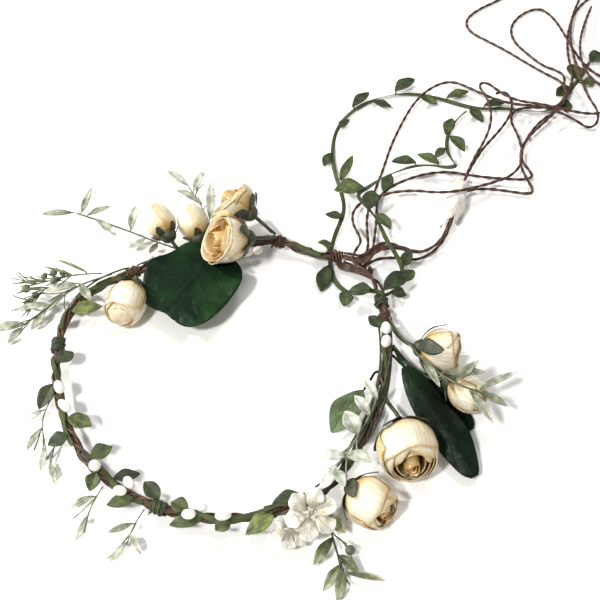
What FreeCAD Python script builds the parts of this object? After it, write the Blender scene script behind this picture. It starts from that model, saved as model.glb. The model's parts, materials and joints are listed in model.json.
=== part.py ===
import FreeCAD, Part
import math
import os

# Flower crown for a small head: a wired vine hoop with wired-on rosebuds, leaves and sprigs.
# Millimetres. The crown lies flat: +Z is up, the origin is the centre of the head opening
# on the surface that it lies on, and the gap between the tied ends is toward +X +Y.

os.makedirs("parts", exist_ok=True)

V = FreeCAD.Vector
UP = V(0, 0, 1)

# Hoop, drawn as two chains of tangent arcs that start at the back, opposite the gap
HOOP_Z = 8.0                 # height of the hoop's middle line
CORE_RADIUS = 1.0            # taped steel wire in the middle
VINE_RADIUS = 2.6            # twisted paper vine round the wire
FLEX_POINT = V(-65, -50, HOOP_Z)
FLEX_GAP = 1.2               # room for the two halves to turn at the flex point
HOOP = {                     # first heading, then (radius, turn) of each arc, in degrees
    "left": (125.5, [(105, -36.5), (45, -62.5), (275, -17.5), (14, -41), (60, 32)]),
    "right": (-51.0, [(88, 69), (50, 35.5), (130, 48)]),
}
LEFT_LENGTH = 238.0
RIGHT_LENGTH = 240.0

# Wound bindings: name, half of the hoop, distance along it, length, radius
BINDINGS = [
    ("binding_left", "left", 64, 9, 3.8),
    ("binding_top_left", "left", 125, 8, 3.9),
    ("binding_top_right", "left", 205, 9, 3.9),
    ("left_end_knot", "left", 239, 9, 4.2),
    ("binding_bottom", "right", 48, 8, 3.8),
    ("binding_right", "right", 229, 8, 4.0),
    ("right_end_knot", "right", 241, 9, 4.2),
]

# Green ribbon on top of the hoop, and its leaves: distance, side offset, turn, length
RIBBON_RADIUS = 0.8
RIBBONS = {
    "left": [(4, 56), (72, 118), (133, 143), (213, 231)],
    "right": [(4, 41), (55, 120), (140, 222)],
}
BAND_LEAF_WIDTH = 6.0
BAND_LEAVES = {
    "left": [(40, 3.2, 146, 14), (19, -3.0, -132, 12), (10, 3.0, 88, 10), (84, -3.0, -50, 15),
             (52, -3.0, -50, 9), (226, 3.0, 35, 11)],
    "right": [(6, 2.5, 80, 11), (14, -3.0, -60, 9), (22, 3.0, 49, 12), (37, -3.0, -143, 13),
              (47, 4.6, 150, 12), (69, -3.2, -165, 15), (81, -3.2, -145, 8), (61.5, 3.2, 167, 9),
              (100, -4.0, -159, 15), (115, 3.8, 166, 14), (222, 4.0, 40, 10)],
}

# Ivory pips on the hoop: distance, side offset, turn, length, diameter
PIP_GAP = 0.15               # height of a pip above what it sits on
PIPS = {
    "left": [(35, -1.6, 10, 7.5, 4.8), (24, -2.0, 25, 8.5, 4.4), (193, -5.6, 20, 6.5, 4.4),
             (187, -6.0, 10, 6.5, 4.4), (180, -5.8, 25, 6.5, 4.2), (135, 5.2, 10, 7.0, 4.6),
             (229, -0.5, -12, 10.0, 4.2)],
    "right": [(13, -0.6, 0, 5.6, 5.2), (30, -2.6, 20, 6.5, 4.6), (31, 2.8, -20, 7.0, 4.4),
              (63, -2.0, 10, 6.5, 4.6), (67, 3.5, -15, 6.5, 4.6), (78, -1.3, 8, 7.5, 4.6),
              (219, 0.6, 5, 7.0, 4.8), (211, 0.7, -8, 7.0, 4.8)],
}

# Rosebuds: base, tip, diameter, and the route of the stem down to the hoop
ROSEBUDS = [
    ((-33.5, 75, 16), (-44.5, 93, 20), 16.8,
     [(-31.8, 72.5, 15.4), (-29.8, 70.6, 12.5), (-27.2, 69.4, 9)]),
    ((-17, 75, 14), (-25, 93, 20), 16.8,
     [(-16, 72.8, 13.3), (-14.2, 72.8, 11.2), (-11.5, 73.9, 9)]),
    ((10, 89, 18), (-9, 101, 24), 25.0,
     [(12.3, 87.5, 17.3), (17, 85, 14), (23.6, 81.4, 9)]),
    ((10, 65, 26), (-15, 60.5, 28.5), 25.0,
     [(12.4, 65.4, 25.8), (18, 68.5, 22), (22, 73.5, 16.5), (24, 77, 12)]),
    ((-49, 46, 10), (-56, 22, 11.6), 21.0,
     [(-48.4, 48, 9.9), (-48.2, 50.2, 9.6), (-50, 53, 8.7)]),
    ((97, 6, 11.4), (118, 1, 13.6), 23.5,
     [(94.8, 6.6, 11.2), (89, 11, 10.4), (85.5, 16.5, 9.4), (83.2, 22, 8.6)]),
    ((110, -14, 12), (125, -27, 14), 18.0,
     [(108.2, -12.4, 11.7), (99, -9, 7.6), (91, -1, 6.8), (83.6, 10, 7.6)]),
    ((85, -39, 13.4), (88, -66, 18), 30.0,
     [(84.7, -36.6, 13), (83, -31, 11.2), (80.6, -26, 9.6), (78.2, -21, 8.4)]),
    ((61, -69, 11), (77, -85, 14), 24.0,
     [(59.3, -67.4, 10.7), (57.6, -66, 9.8), (55.2, -64.6, 8.6)]),
]
STEM_RADIUS = 1.0
CALYX_LENGTH = 8.0
CALYX_DIAMETER = 9.0

# Big rose leaves: base, tip, width, and the route of the stalk down to the hoop
BIG_LEAVES = [
    ((-5.5, 65.5, 13.8), (-31.5, 27, 11.8), 48.0, [(-3, 70.6, 13.8), (3, 73, 13.6), (9, 74.6, 12.6)]),
    ((88, -7, 15), (118, -61, 6), 18.0, [(86, -3, 14.6), (84.8, 2, 12.6), (84.4, 6, 10.4)]),
    ((97, -5, 4), (119, -35, 2), 16.0, [(92.5, -3.4, 4.2), (88, 0, 5), (84, 5, 6.2)]),
    ((68, -15, 6), (52, -37, 3.6), 14.0, [(70, -12.4, 6.4), (72, -9, 7), (74.2, -5, 7.8)]),
]
STALK_RADIUS = 0.7
BIG_LEAF_THICKNESS = 0.8
LEAF_THICKNESS = 0.5

# Sprigs: stems as (radius, route), leaves as (base, tip, width), berries as (centre, size)
SPRIGS = {
    "sprig_tip_left": ([
        (0.8, [(-24.4, 70.2, 8), (-34, 75, 7), (-45, 79, 8), (-56, 83, 10), (-70, 87, 13),
               (-85, 91, 16)])], [
        ((-86, 91, 16), (-104, 89, 17), 4.5), ((-79, 90, 15), (-66, 94, 18), 4.0),
        ((-74, 88, 14), (-61, 77, 12), 4.5), ((-82, 91, 16), (-77, 104, 22), 4.0),
        ((-55, 83, 10.5), (-52, 93, 20), 5.0), ((-47, 79, 8.5), (-56, 73, 7), 4.0),
        ((-40, 76.5, 7.5), (-44, 68, 9), 3.6)], []),
    "sprig_low_left": ([
        (0.8, [(-61, 51, 13.4), (-71, 47, 13.6), (-82, 42, 12), (-93, 33, 8.5), (-105, 23, 6.5)])], [
        ((-79, 44, 12.5), (-96, 41, 11), 4.0), ((-84, 40, 11), (-97, 30, 6), 3.6),
        ((-92, 35, 8.5), (-110, 31, 8), 3.2), ((-104, 24, 6.5), (-121, 20, 6), 4.6),
        ((-105, 22, 6), (-112, 14, 3), 3.4), ((-94, 31, 8), (-101, 22, 4), 3.8),
        ((-77, 44, 13.8), (-70, 33, 14), 4.0)], []),
    "seed_sprig": ([
        (0.6, [(-66, 50.5, 14.6), (-76, 50, 15), (-88, 48.5, 13.8), (-104, 46, 10)]),
        (0.5, [(-87, 47.5, 14), (-94, 43, 11.5), (-103, 38, 7)])], [
        ((-74, 51, 14.8), (-90, 57, 18), 1.6), ((-82, 50, 14), (-97, 55, 14), 1.4),
        ((-96, 48, 11.5), (-112, 48, 9), 1.6), ((-94, 44, 11), (-111, 41, 9), 1.4)],
        [((-92, 52, 13.5), 4.0), ((-87.5, 52.5, 12.5), 3.6), ((-106, 44.5, 9.5), 4.6),
         ((-91, 46, 14.5), 4.0), ((-101, 41.5, 7.5), 3.8), ((-104.5, 37, 6.5), 4.2),
         ((-97, 50.5, 12), 3.6)]),
    "sprig_top": ([
        (0.7, [(-6, 75.6, 8), (-10, 84, 7), (-14, 93, 9), (-19, 102, 13), (-25, 109, 18)])], [
        ((-12.5, 92, 9.5), (-12, 111, 21), 4.6), ((-17, 100, 12.5), (-32, 107, 17), 4.0),
        ((-22, 106, 16), (-17, 117, 21), 4.0), ((-25, 109, 18), (-37, 117, 22), 4.2)], []),
    "small_sprigs_left": ([
        (0.5, [(-83, -20, 8), (-86, -28, 8), (-86, -37, 6.5), (-83, -46, 4.5)]),
        (0.5, [(-76.4, -38.6, 7), (-79, -45, 6), (-80, -54, 4)])], [
        ((-86, -27, 8), (-95, -34, 7), 3.4), ((-86, -36, 6.5), (-92, -47, 4), 3.0),
        ((-83, -45, 4.5), (-84, -57, 3), 3.0), ((-80, -53, 4), (-76, -64, 3), 3.2)], []),
    "small_sprigs_right": ([
        (0.5, [(-53, -66.4, 7), (-57, -72.6, 6.5), (-59, -81, 5)]),
        (0.5, [(-33, -77.5, 7), (-38, -85, 6), (-40, -93, 4)])], [
        ((-57, -71, 6.5), (-67, -77, 5), 3.4), ((-59, -80, 5), (-63, -91, 3), 3.0),
        ((-40, -92, 4), (-47, -101, 3), 3.0), ((-38, -84, 6), (-49, -88, 5), 3.0),
        ((-39, -88, 5), (-33, -98, 4), 3.0)], []),
    "sprig_right": ([
        (0.8, [(82, 24, 13.5), (85, 14, 15.2), (90, 5, 18), (97, -9, 22), (105, -19, 25),
               (114, -25, 25), (121, -26, 23.5)])], [
        ((104, -17, 25.5), (124, -18, 28), 5.0), ((120, -26.5, 24), (134, -32, 20), 4.4),
        ((121, -25, 24), (140, -15, 23), 3.6), ((116, -26, 25), (127, -39, 17), 4.6),
        ((110, -22, 26), (121, -13, 30), 4.4), ((96, -9, 22.5), (103, -23, 22), 4.4)], []),
    "sprig_white": ([
        (0.8, [(75.8, -16, 13.3), (73, -27, 13.4), (67, -39, 13.5), (60, -51, 14), (53, -61, 14)])], [
        ((64, -44, 14.5), (58, -33, 17), 8.0), ((58, -54, 14.5), (69, -63, 24), 6.0),
        ((58, -55, 14), (44, -55, 14), 5.0), ((54, -60, 14), (46, -71, 12.5), 5.0),
        ((70, -34, 14), (63, -24, 16), 5.0), ((74, -25, 14), (68, -14, 15), 4.4),
        ((53, -62, 14.5), (57, -73, 20), 5.0)], []),
    "sprig_bottom": ([
        (0.8, [(46.8, -75.8, 8), (50, -83, 7.5), (52, -94, 6.5), (56, -106, 5)]),
        (0.5, [(52, -90, 7), (55, -92, 7.5), (58, -95, 7)])], [
        ((51.5, -91, 7), (43, -103, 5), 5.0), ((54, -99, 6.4), (63, -107, 5.5), 4.6),
        ((56, -106, 5), (53, -119, 3), 5.0), ((54.5, -103, 5.4), (47, -114, 3), 4.4),
        ((57, -106.5, 5), (74, -110, 4.5), 2.6), ((49, -81, 8.5), (57, -90, 9), 6.0)],
        [((59, -97, 7), 4.6)]),
}

# White blossoms: centre, petal length, and how far the face leans toward -Y
FLORETS = [((42, -84, 17), 12.0, 35.0), ((33, -89, 11), 9.0, 55.0)]
FLORET_PETALS = 6

# Tie cords and leaf ribbons that lie free beyond the hoop's ends
CORD_RADIUS = 0.9
CORDS = {
    "tie_cord_a1": [
        (60, 67.4, 6.6), (64, 66.4, 7.6), (68, 65, 8.8), (72, 67.5, 9), (74, 74, 8.4),
        (74, 84, 6), (74, 98, 4), (78, 114, 3), (85, 135, 2), (91, 156, 2), (99, 175, 3.5),
        (108, 192, 5), (120, 206, 4), (132, 212, 3), (142, 202, 6), (153, 190, 9),
        (166, 183, 10), (179, 181, 11), (190, 176, 11.5), (201, 170, 10), (209, 165, 7),
        (216, 171, 6), (218, 182, 6), (213, 190, 9), (211, 203, 10), (210, 223, 9),
        (211, 246, 7.5), (216, 270, 5.5), (225, 291, 4), (233, 310, 3)],
    "tie_cord_a2": [
        (60, 64.8, 7.2), (64.5, 62.6, 5.8), (69, 61.5, 4.8), (73.5, 65, 4.8), (76.5, 73, 4.8),
        (78, 84, 5), (80, 98, 5), (80, 110, 5), (87, 119, 5), (98, 126, 5), (111, 131, 5),
        (124, 132, 5), (136, 129, 5), (149, 127, 5), (160, 126, 5), (167, 126, 5),
        (171, 128, 5), (170, 133, 5), (167, 138, 5), (166, 147, 5), (171, 158, 5),
        (178, 166, 5), (186, 174, 6), (194, 183, 6.5), (202, 196, 6.5), (209, 215, 4.5),
        (209, 237, 2), (213, 260, 1.2), (220, 280, 1.2), (231, 295, 1.2), (241, 304, 1.2)],
    "tie_cord_a3": [
        (60, 68, 10), (65, 66.4, 10.8), (70, 64.8, 11.2), (74.5, 68.5, 11.2), (79, 73.6, 11),
        (85, 74, 11), (92, 71, 11), (101, 68, 10), (109, 72, 9.5), (117, 82, 9.5),
        (122, 96, 9.5), (128, 112, 9.5), (132, 126, 9.5), (139, 141, 9.5), (147, 156, 9.5),
        (151, 168, 12), (151, 181, 12.5), (149, 190, 12), (146.5, 196, 12), (148, 200, 12),
        (152, 199, 12.5), (156, 193.5, 13), (161, 187, 13.5), (169, 182, 13.5),
        (180, 180, 13.5), (192, 176, 13.5), (206, 174, 11), (218, 177, 8), (227, 185, 6),
        (229, 196, 6), (223, 202, 8), (216, 210, 9), (214, 225, 8.5), (218, 248, 6),
        (225, 268, 4), (233, 286, 3)],
    "tie_cord_b1": [
        (78, 41.5, 6.2), (77.4, 47, 6.6), (76, 52.6, 6.9), (71.6, 56, 6.9), (67.6, 59, 6.9),
        (70, 64.5, 6.9), (75, 70, 7.2), (82, 74.4, 7.8), (90, 73, 8), (99, 70, 7),
        (108, 73, 7), (115, 81, 7), (120, 93, 7), (125, 108, 7), (131, 124, 7), (138, 138, 7),
        (145, 150, 7), (154, 161, 7), (162, 173, 7), (166, 183, 7.5), (166, 192, 7.5),
        (162, 198, 7.5), (157, 195, 7.5)],
    "tie_cord_b2": [
        (76.6, 41.5, 9.8), (75.6, 47, 11.5), (73.4, 52.4, 13), (68, 56, 13.4), (64, 60.6, 13.4),
        (66.4, 67, 13.4), (70, 73, 13), (68.4, 81, 11), (66, 89, 9),
        (66, 99, 7), (71, 106, 8), (80, 110, 8), (91, 113, 9), (102, 112, 11),
        (113, 109, 12.5), (123, 109, 13.4), (134, 113, 12), (147, 120, 9), (158, 126, 8),
        (165, 135, 8), (167, 147, 8), (166, 160, 7.5), (164, 174, 4.5), (167, 184, 4),
        (176, 187, 4), (186, 183, 7), (196, 184, 9), (201, 195, 9), (200, 208, 6),
        (192, 217, 4), (181, 229, 3), (170, 242, 2), (158, 253, 1.5), (148, 262, 1.2),
        (147, 274, 1.2), (157, 285, 1.2), (171, 294, 1.2), (183, 303, 1.2)],
    "tie_cord_b3": [
        (80.3, 41.5, 8.2), (80.4, 47, 6), (78.6, 53.4, 3.6), (73.6, 57, 2.7),
        (70.6, 60.6, 2.6), (73.4, 66.4, 2.6), (80.6, 70.6, 2.3), (90, 71, 2), (99, 69, 2),
        (108, 73, 2), (116, 82, 3), (121, 94, 4), (125.5, 107, 4.2), (130.4, 118, 4.2),
        (143, 121, 3), (155, 119, 3), (164, 117, 3), (170, 117, 3), (170, 122, 3),
        (168, 128, 3), (166, 138, 2.5), (167, 149, 2.5), (172, 160, 2.5), (177, 169, 2.5),
        (185, 178, 3), (193, 183, 4), (200, 192, 4), (201, 204, 4), (204, 216, 3),
        (200, 223, 2), (192, 228, 1.2), (184, 239, 1.2), (176, 252, 1.2), (176, 267, 1.2),
        (185, 280, 1.2), (198, 287, 1.2), (205, 277, 2), (209, 260, 3.5), (212, 239, 5.5),
        (217, 222, 6), (224, 213, 6), (232, 210, 4)],
    "leaf_ribbon_1": [
        (81, 38.4, 13.2), (76, 40, 13.4), (71, 42.2, 11), (66, 44, 6), (60, 48, 2.4), (55, 56, 1.5),
        (53, 66, 1.5), (54, 76, 2), (56, 85, 4), (60, 93, 8), (62, 102, 9), (60, 117, 6),
        (57, 135, 2), (56, 151, 1.5), (58, 167, 1.5), (64, 180, 1.5), (73, 190, 1.5),
        (85, 198, 1.5), (99, 202, 1.5), (113, 201, 1.5), (125, 197, 1.5), (137, 191, 1.5),
        (149, 188, 1.5), (161, 189, 1.5), (175, 187, 1.5), (188, 185, 1.5), (199, 193, 1.5),
        (205, 205, 1.5), (211.5, 212.5, 1.5), (216.5, 221, 1.5), (222, 231, 1.5)],
    "leaf_ribbon_2": [
        (81.5, 42.5, 6), (86.5, 46.5, 4.4), (91, 53, 4), (92, 60, 6.5), (88, 67, 11),
        (83, 73, 15), (81, 82, 14.5), (77, 93, 13.5), (70, 101, 15), (69, 107, 14),
        (75, 114, 11), (83, 124, 8), (92, 129, 8), (103, 134, 8), (113, 133, 9.5),
        (121, 128, 12.5), (127, 130, 12), (125, 138, 8), (123, 151, 5), (126, 166, 4),
        (132, 177, 4), (139, 184, 4)],
}

# Leaves sewn to the loose ribbons: base, tip, width
RIBBON_LEAVES = {
    "ribbon_1_leaves": [
        ((69, 189, 2), (80, 201, 3), 6.0), ((82, 194, 2), (93, 188, 3), 5.0),
        ((96, 203.5, 2), (109, 212, 4), 8.0), ((112, 199, 2), (121, 190, 3), 6.0),
        ((128, 198, 2), (142, 202, 3), 6.0), ((141, 187, 2), (148, 176, 2), 6.0),
        ((60, 171, 2), (67, 177, 3), 4.6), ((54.5, 150, 2), (51, 139, 2), 5.0),
        ((60.5, 127, 3), (68, 145, 5), 5.0), ((150, 190, 2.5), (164, 192.5, 3), 6.0),
        ((200.5, 196.5, 2), (200, 184.5, 1.8), 7.5), ((206.6, 206.6, 2), (196, 199, 2), 8.5),
        ((212, 212.5, 2.4), (209.5, 229, 1.4), 9.5), ((214, 210, 2.2), (222.5, 211.5, 2.4), 7.0),
        ((222.5, 231, 2), (231.5, 239, 2), 9.0),
        ((53, 76, 3), (46, 70, 3), 6.0), ((52, 65, 2.5), (48, 48, 2), 8.0),
        ((62, 45.8, 5.6), (60, 36, 5), 7.0), ((61, 93, 9.5), (51, 97, 8), 5.0),
        ((80, 39.6, 14.8), (93, 52, 12.6), 9.0), ((74, 40, 15), (62, 40, 12), 7.5)],
    "ribbon_2_leaves": [
        ((129, 176, 5), (124, 163, 4), 6.5), ((126.5, 161, 5), (134, 149, 4), 6.5),
        ((122, 150, 6), (116, 143, 5), 5.0), ((117, 133, 10.5), (105, 141, 10), 6.0),
        ((104, 135.5, 9), (90, 137, 8), 6.5), ((89, 126, 9), (84, 114, 8), 6.5),
        ((73, 112, 13), (56, 110, 13), 10.0), ((77, 106, 17.4), (74, 92, 17), 9.0),
        ((79, 91, 15), (86, 80, 15), 6.0), ((91, 52, 5), (98, 60, 5), 6.5),
        ((92.5, 60, 9), (96, 64, 18), 6.0), ((85, 45, 5), (93, 43, 5), 6.0)],
}

# Folded paper tag on three of the cords: ends of its axis and its outer and inner half sizes
TAG_ENDS = ((121, 93.5, 6.9), (128.4, 116, 6.9))
TAG_OUTER = (4.2, 5.0)
TAG_INNER = (3.7, 4.5)


def direction(heading):
    return V(math.cos(math.radians(heading)), math.sin(math.radians(heading)), 0)


def hoop_frame(half, distance):
    """Point and heading of the hoop's middle line at a distance from the flex point."""
    heading, arcs = HOOP[half]
    point = V(FLEX_POINT)
    for radius, turn in arcs:
        length = radius * math.radians(abs(turn))
        share = min(1.0, distance / length)
        side = math.copysign(90, turn)
        centre = point + direction(heading + side) * radius
        heading += turn * share
        point = centre - direction(heading + side) * radius
        distance -= length
        if distance <= 0:
            break
    return point, heading


def beside_hoop(half, distance, offset=0.0, lift=0.0):
    point, heading = hoop_frame(half, distance)
    return point + direction(heading + 90) * offset + UP * lift


def arc_starts(half):
    """Distances along one half of the hoop at which its arcs begin."""
    marks = [0.0]
    for radius, turn in HOOP[half][1]:
        marks.append(marks[-1] + radius * math.radians(abs(turn)))
    return marks


def hoop_path(half, first, last, lift=0.0):
    """The hoop's middle line from one distance to another, as arcs."""
    inner = [mark for mark in arc_starts(half) if first + 0.5 < mark < last - 0.5]
    marks = [first] + inner + [last]
    edges = []
    for low, high in zip(marks, marks[1:]):
        three = [beside_hoop(half, at, lift=lift) for at in (low, (low + high) / 2, high)]
        edges.append(Part.Arc(*three).toShape())
    return Part.Wire(edges)


def route_path(points):
    """Straight runs joined by tangent arcs, each as large as its two runs allow."""
    points = [V(*point) for point in points]
    edges = []
    radii = []
    here = points[0]
    for before, corner, after in zip(points, points[1:], points[2:]):
        back = before - corner
        ahead = after - corner
        reach = 0.45 * min(back.Length, ahead.Length)
        turn = math.pi - back.getAngle(ahead)
        radius = reach / math.tan(turn / 2)
        back.normalize()
        ahead.normalize()
        start = corner + back * reach
        end = corner + ahead * reach
        inward = (back + ahead).normalize()
        middle = corner + inward * (math.hypot(radius, reach) - radius)
        edges.append(Part.LineSegment(here, start).toShape())
        edges.append(Part.Arc(start, middle, end).toShape())
        radii.append(radius)
        here = end
    edges.append(Part.LineSegment(here, points[-1]).toShape())
    return Part.Wire(edges), radii


def tube(path, radius):
    first = path.Edges[0]
    start = first.valueAt(first.FirstParameter)
    along = first.tangentAt(first.FirstParameter)
    ring = Part.Wire(Part.makeCircle(radius, start, along))
    return path.makePipeShell([ring], True, True)


def placed(shape, base, tip):
    """Move a shape from the X axis to the line from base to tip, with its Z side up."""
    along = V(*tip) - V(*base)
    across = UP.cross(along)
    turned = FreeCAD.Rotation(along, across, along.cross(across), "XZY")
    shape.Placement = FreeCAD.Placement(V(*base), turned)
    return shape


def length_between(base, tip):
    return (V(*tip) - V(*base)).Length


def spline_arc(start, middle, end):
    """An arc as a spline, because a turned arc that crosses its own axis is a poor surface."""
    return Part.Arc(start, middle, end).toBSpline().toShape()


def egg(base, tip, diameter):
    """A bud: an egg that is fullest near its base, with a blunt tip."""
    length = length_between(base, tip)
    waist = V(0.45 * length, 0.5 * diameter, 0)
    shoulder = V(0.95 * length, 0.24 * diameter, 0)
    outline = Part.Wire([
        spline_arc(V(0, 0, 0), V(0.13 * length, 0.34 * diameter, 0), waist),
        spline_arc(waist, V(0.77 * length, 0.43 * diameter, 0), shoulder),
        Part.LineSegment(shoulder, V(length, 0, 0)).toShape(),
        Part.LineSegment(V(length, 0, 0), V(0, 0, 0)).toShape(),
    ])
    solid = Part.Face(outline).revolve(V(0, 0, 0), V(1, 0, 0), 360)
    return placed(solid, base, tip)


def plate(outline, thickness, base, tip):
    solid = Part.Face(Part.Wire(outline)).extrude(V(0, 0, thickness))
    solid.translate(V(0, 0, -thickness / 2))
    return placed(solid, base, tip)


def slim_leaf(base, tip, width):
    """A small leaf: two arcs from stalk to point."""
    length = length_between(base, tip)
    ends = (V(0, 0, 0), V(length, 0, 0))
    sides = [Part.Arc(ends[0], V(length / 2, width / 2, 0), ends[1]).toShape(),
             Part.Arc(ends[1], V(length / 2, -width / 2, 0), ends[0]).toShape()]
    return plate(sides, LEAF_THICKNESS, base, tip)


def rose_leaf(base, tip, width):
    """A broad leaf, widest nearer its stalk."""
    length = length_between(base, tip)
    outline = []
    for side in (1, -1):
        widest = V(0.42 * length, side * width / 2, 0)
        near = V(0.14 * length, side * 0.36 * width, 0)
        far = V(0.76 * length, side * 0.33 * width, 0)
        outline.append(Part.Arc(V(0, 0, 0), near, widest).toShape())
        outline.append(Part.Arc(widest, far, V(length, 0, 0)).toShape())
    outline = [outline[0], outline[1], outline[3], outline[2]]
    return plate(outline, BIG_LEAF_THICKNESS, base, tip)


def save(name, solids):
    shape = solids[0] if len(solids) == 1 else Part.makeCompound(solids)
    shape.exportStep("parts/%s.step" % name)


def make_hoop(half, length):
    """The core wire and the vine round it, for one half of the hoop."""
    path = hoop_path(half, FLEX_GAP / 2, length)
    core = tube(path, CORE_RADIUS)
    vine = tube(path, VINE_RADIUS)
    save(half + "_core_wire", [core])
    save(half + "_vine_wrap", [vine.cut(core)])
    return vine


def make_bindings(vines):
    rolls = []
    for name, half, distance, length, radius in BINDINGS:
        point, heading = hoop_frame(half, distance)
        along = direction(heading)
        roll = Part.makeCylinder(radius, length, point - along * (length / 2), along)
        rolls.append(roll)
        save(name, [roll.cut(vines[half])])
    return rolls


def make_band_ribbon(half):
    lift = VINE_RADIUS + RIBBON_RADIUS
    spans = [tube(hoop_path(half, first, last, lift), RIBBON_RADIUS)
             for first, last in RIBBONS[half]]
    save(half + "_band_ribbon", spans)


def make_band_leaves(half):
    leaves = []
    for distance, offset, turn, length in BAND_LEAVES[half]:
        heading = hoop_frame(half, distance)[1]
        base = beside_hoop(half, distance, offset, VINE_RADIUS + LEAF_THICKNESS)
        tip = base + direction(heading + turn) * length - UP * 0.12 * length
        leaves.append(slim_leaf(base, tip, BAND_LEAF_WIDTH))
    save(half + "_band_leaves", leaves)


def make_pips(half):
    pips = []
    for distance, offset, turn, length, diameter in PIPS[half]:
        heading = hoop_frame(half, distance)[1]
        rest = math.sqrt(max(0.0, (VINE_RADIUS + 0.5 * diameter) ** 2 - offset ** 2))
        lift = rest + PIP_GAP + 2 * RIBBON_RADIUS * (abs(offset) < 3)
        middle = beside_hoop(half, distance, offset, lift)
        reach = direction(heading + turn) * (0.5 * length)
        pips.append(egg(middle - reach, middle + reach, diameter))
    save(half + "_pips", pips)


def make_rosebuds(hoop_solids):
    """Each bud, and its calyx and stem, cut back to the faces of what they meet."""
    for number, (base, tip, diameter, stem) in enumerate(ROSEBUDS, 1):
        bud = egg(base, tip, diameter)
        save("rosebud_%d" % number, [bud])
        axis = (V(*tip) - V(*base)).normalize() * (CALYX_LENGTH / 2)
        calyx = egg(V(*base) - axis, V(*base) + axis, CALYX_DIAMETER)
        stalk = tube(route_path([V(*base)] + [V(*p) for p in stem])[0], STEM_RADIUS)
        save("rose_calyx_%d" % number, [calyx.fuse(stalk).cut([bud] + hoop_solids)])


def make_big_leaves():
    for number, (base, tip, width, stalk) in enumerate(BIG_LEAVES, 1):
        stem = tube(route_path([base] + stalk)[0], STALK_RADIUS)
        save("big_leaf_%d" % number, [rose_leaf(base, tip, width).fuse(stem)])


def make_sprigs():
    for name, (stems, leaves, berries) in SPRIGS.items():
        solids = [tube(route_path(route)[0], radius) for radius, route in stems]
        solids += [slim_leaf(*leaf) for leaf in leaves]
        solids += [Part.makeSphere(size / 2, V(*centre)) for centre, size in berries]
        save(name, solids)


def make_florets():
    solids = []
    for centre, reach, lean in FLORETS:
        centre = V(*centre)
        solids.append(Part.makeSphere(2.0, centre))
        tilt = FreeCAD.Rotation(V(1, 0, 0), lean)
        for number in range(FLORET_PETALS):
            out = direction(360 * number / FLORET_PETALS + 20)
            base = centre + tilt.multVec(out * 2.4)
            tip = centre + tilt.multVec(out * reach + UP * 0.25 * reach)
            solids.append(slim_leaf(base, tip, 0.72 * reach))
    stalk = [(44.5, -75.5, 8), (44, -79, 10.5), FLORETS[0][0]]
    second = [(43.4, -81, 11.5), (38, -86, 9.5), FLORETS[1][0]]
    solids.append(tube(route_path(stalk)[0], 0.7))
    solids.append(tube(route_path(second)[0], 0.6))
    save("white_florets", solids)


def make_cords():
    for name, points in CORDS.items():
        path, radii = route_path(points)
        cord = tube(path, CORD_RADIUS)
        share = cord.Volume / (math.pi * CORD_RADIUS ** 2 * path.Length)
        print("%s length %.0f volume share %.4f smallest radii %s"
              % (name, path.Length, share, [round(r, 1) for r in sorted(radii)[:3]]))
        save(name, [cord])


def make_ribbon_leaves():
    for name, leaves in RIBBON_LEAVES.items():
        save(name, [slim_leaf(*leaf) for leaf in leaves])


def make_tag():
    """A slip of paper folded round the bundle of cords."""
    base, tip = TAG_ENDS
    length = length_between(base, tip)

    def sleeve(across, high, start, end):
        ring = Part.Ellipse(V(0, 0, 0), max(across, high), min(across, high)).toShape()
        solid = Part.Face(Part.Wire(ring)).extrude(V(0, 0, end - start))
        solid.rotate(V(0, 0, 0), V(0, 1, 0), 90)
        solid.translate(V(start, 0, 0))
        return solid

    paper = sleeve(*TAG_OUTER, 0, length).cut(sleeve(*TAG_INNER, -1, length + 1))
    save("paper_tag", [placed(paper, base, tip)])


def main():
    vines = {"left": make_hoop("left", LEFT_LENGTH), "right": make_hoop("right", RIGHT_LENGTH)}
    rolls = make_bindings(vines)
    for half in HOOP:
        make_band_ribbon(half)
        make_band_leaves(half)
        make_pips(half)
    make_rosebuds(rolls + list(vines.values()))
    make_big_leaves()
    make_sprigs()
    make_florets()
    make_cords()
    make_ribbon_leaves()
    make_tag()


main()
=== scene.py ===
import json
import math
import random

import bmesh
import bpy
import numpy as np
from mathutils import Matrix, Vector


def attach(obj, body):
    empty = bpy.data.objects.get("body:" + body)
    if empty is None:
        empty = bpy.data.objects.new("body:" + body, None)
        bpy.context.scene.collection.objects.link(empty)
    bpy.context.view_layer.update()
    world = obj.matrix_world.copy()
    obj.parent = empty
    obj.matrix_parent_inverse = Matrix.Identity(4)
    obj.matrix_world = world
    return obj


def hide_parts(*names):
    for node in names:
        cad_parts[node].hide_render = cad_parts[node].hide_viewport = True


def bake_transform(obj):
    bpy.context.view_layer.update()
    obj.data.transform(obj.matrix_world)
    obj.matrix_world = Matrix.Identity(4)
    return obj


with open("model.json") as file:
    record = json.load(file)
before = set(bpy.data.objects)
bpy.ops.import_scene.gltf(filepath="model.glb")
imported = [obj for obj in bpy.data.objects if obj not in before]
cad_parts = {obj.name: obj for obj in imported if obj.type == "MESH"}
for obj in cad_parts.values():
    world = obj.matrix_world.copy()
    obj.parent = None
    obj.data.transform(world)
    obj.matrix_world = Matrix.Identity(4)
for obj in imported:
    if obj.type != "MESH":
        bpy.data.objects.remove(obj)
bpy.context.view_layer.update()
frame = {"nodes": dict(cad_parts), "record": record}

# Flower crown. Lengths are millimetres in the CAD frame, and MM turns them into metres.
MM = 0.001
UP = np.array([0.0, 0.0, 1.0])
DICE = random.Random(7)

# The camera looks along +Y, from above
CAMERA_TARGET = (0.037, 0.044, 0.0)
CAMERA_ELEVATION = 54.0
CAMERA_DISTANCE = 0.52
CAMERA_LENS = 58.9
SENSOR_WIDTH = 36.0

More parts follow.
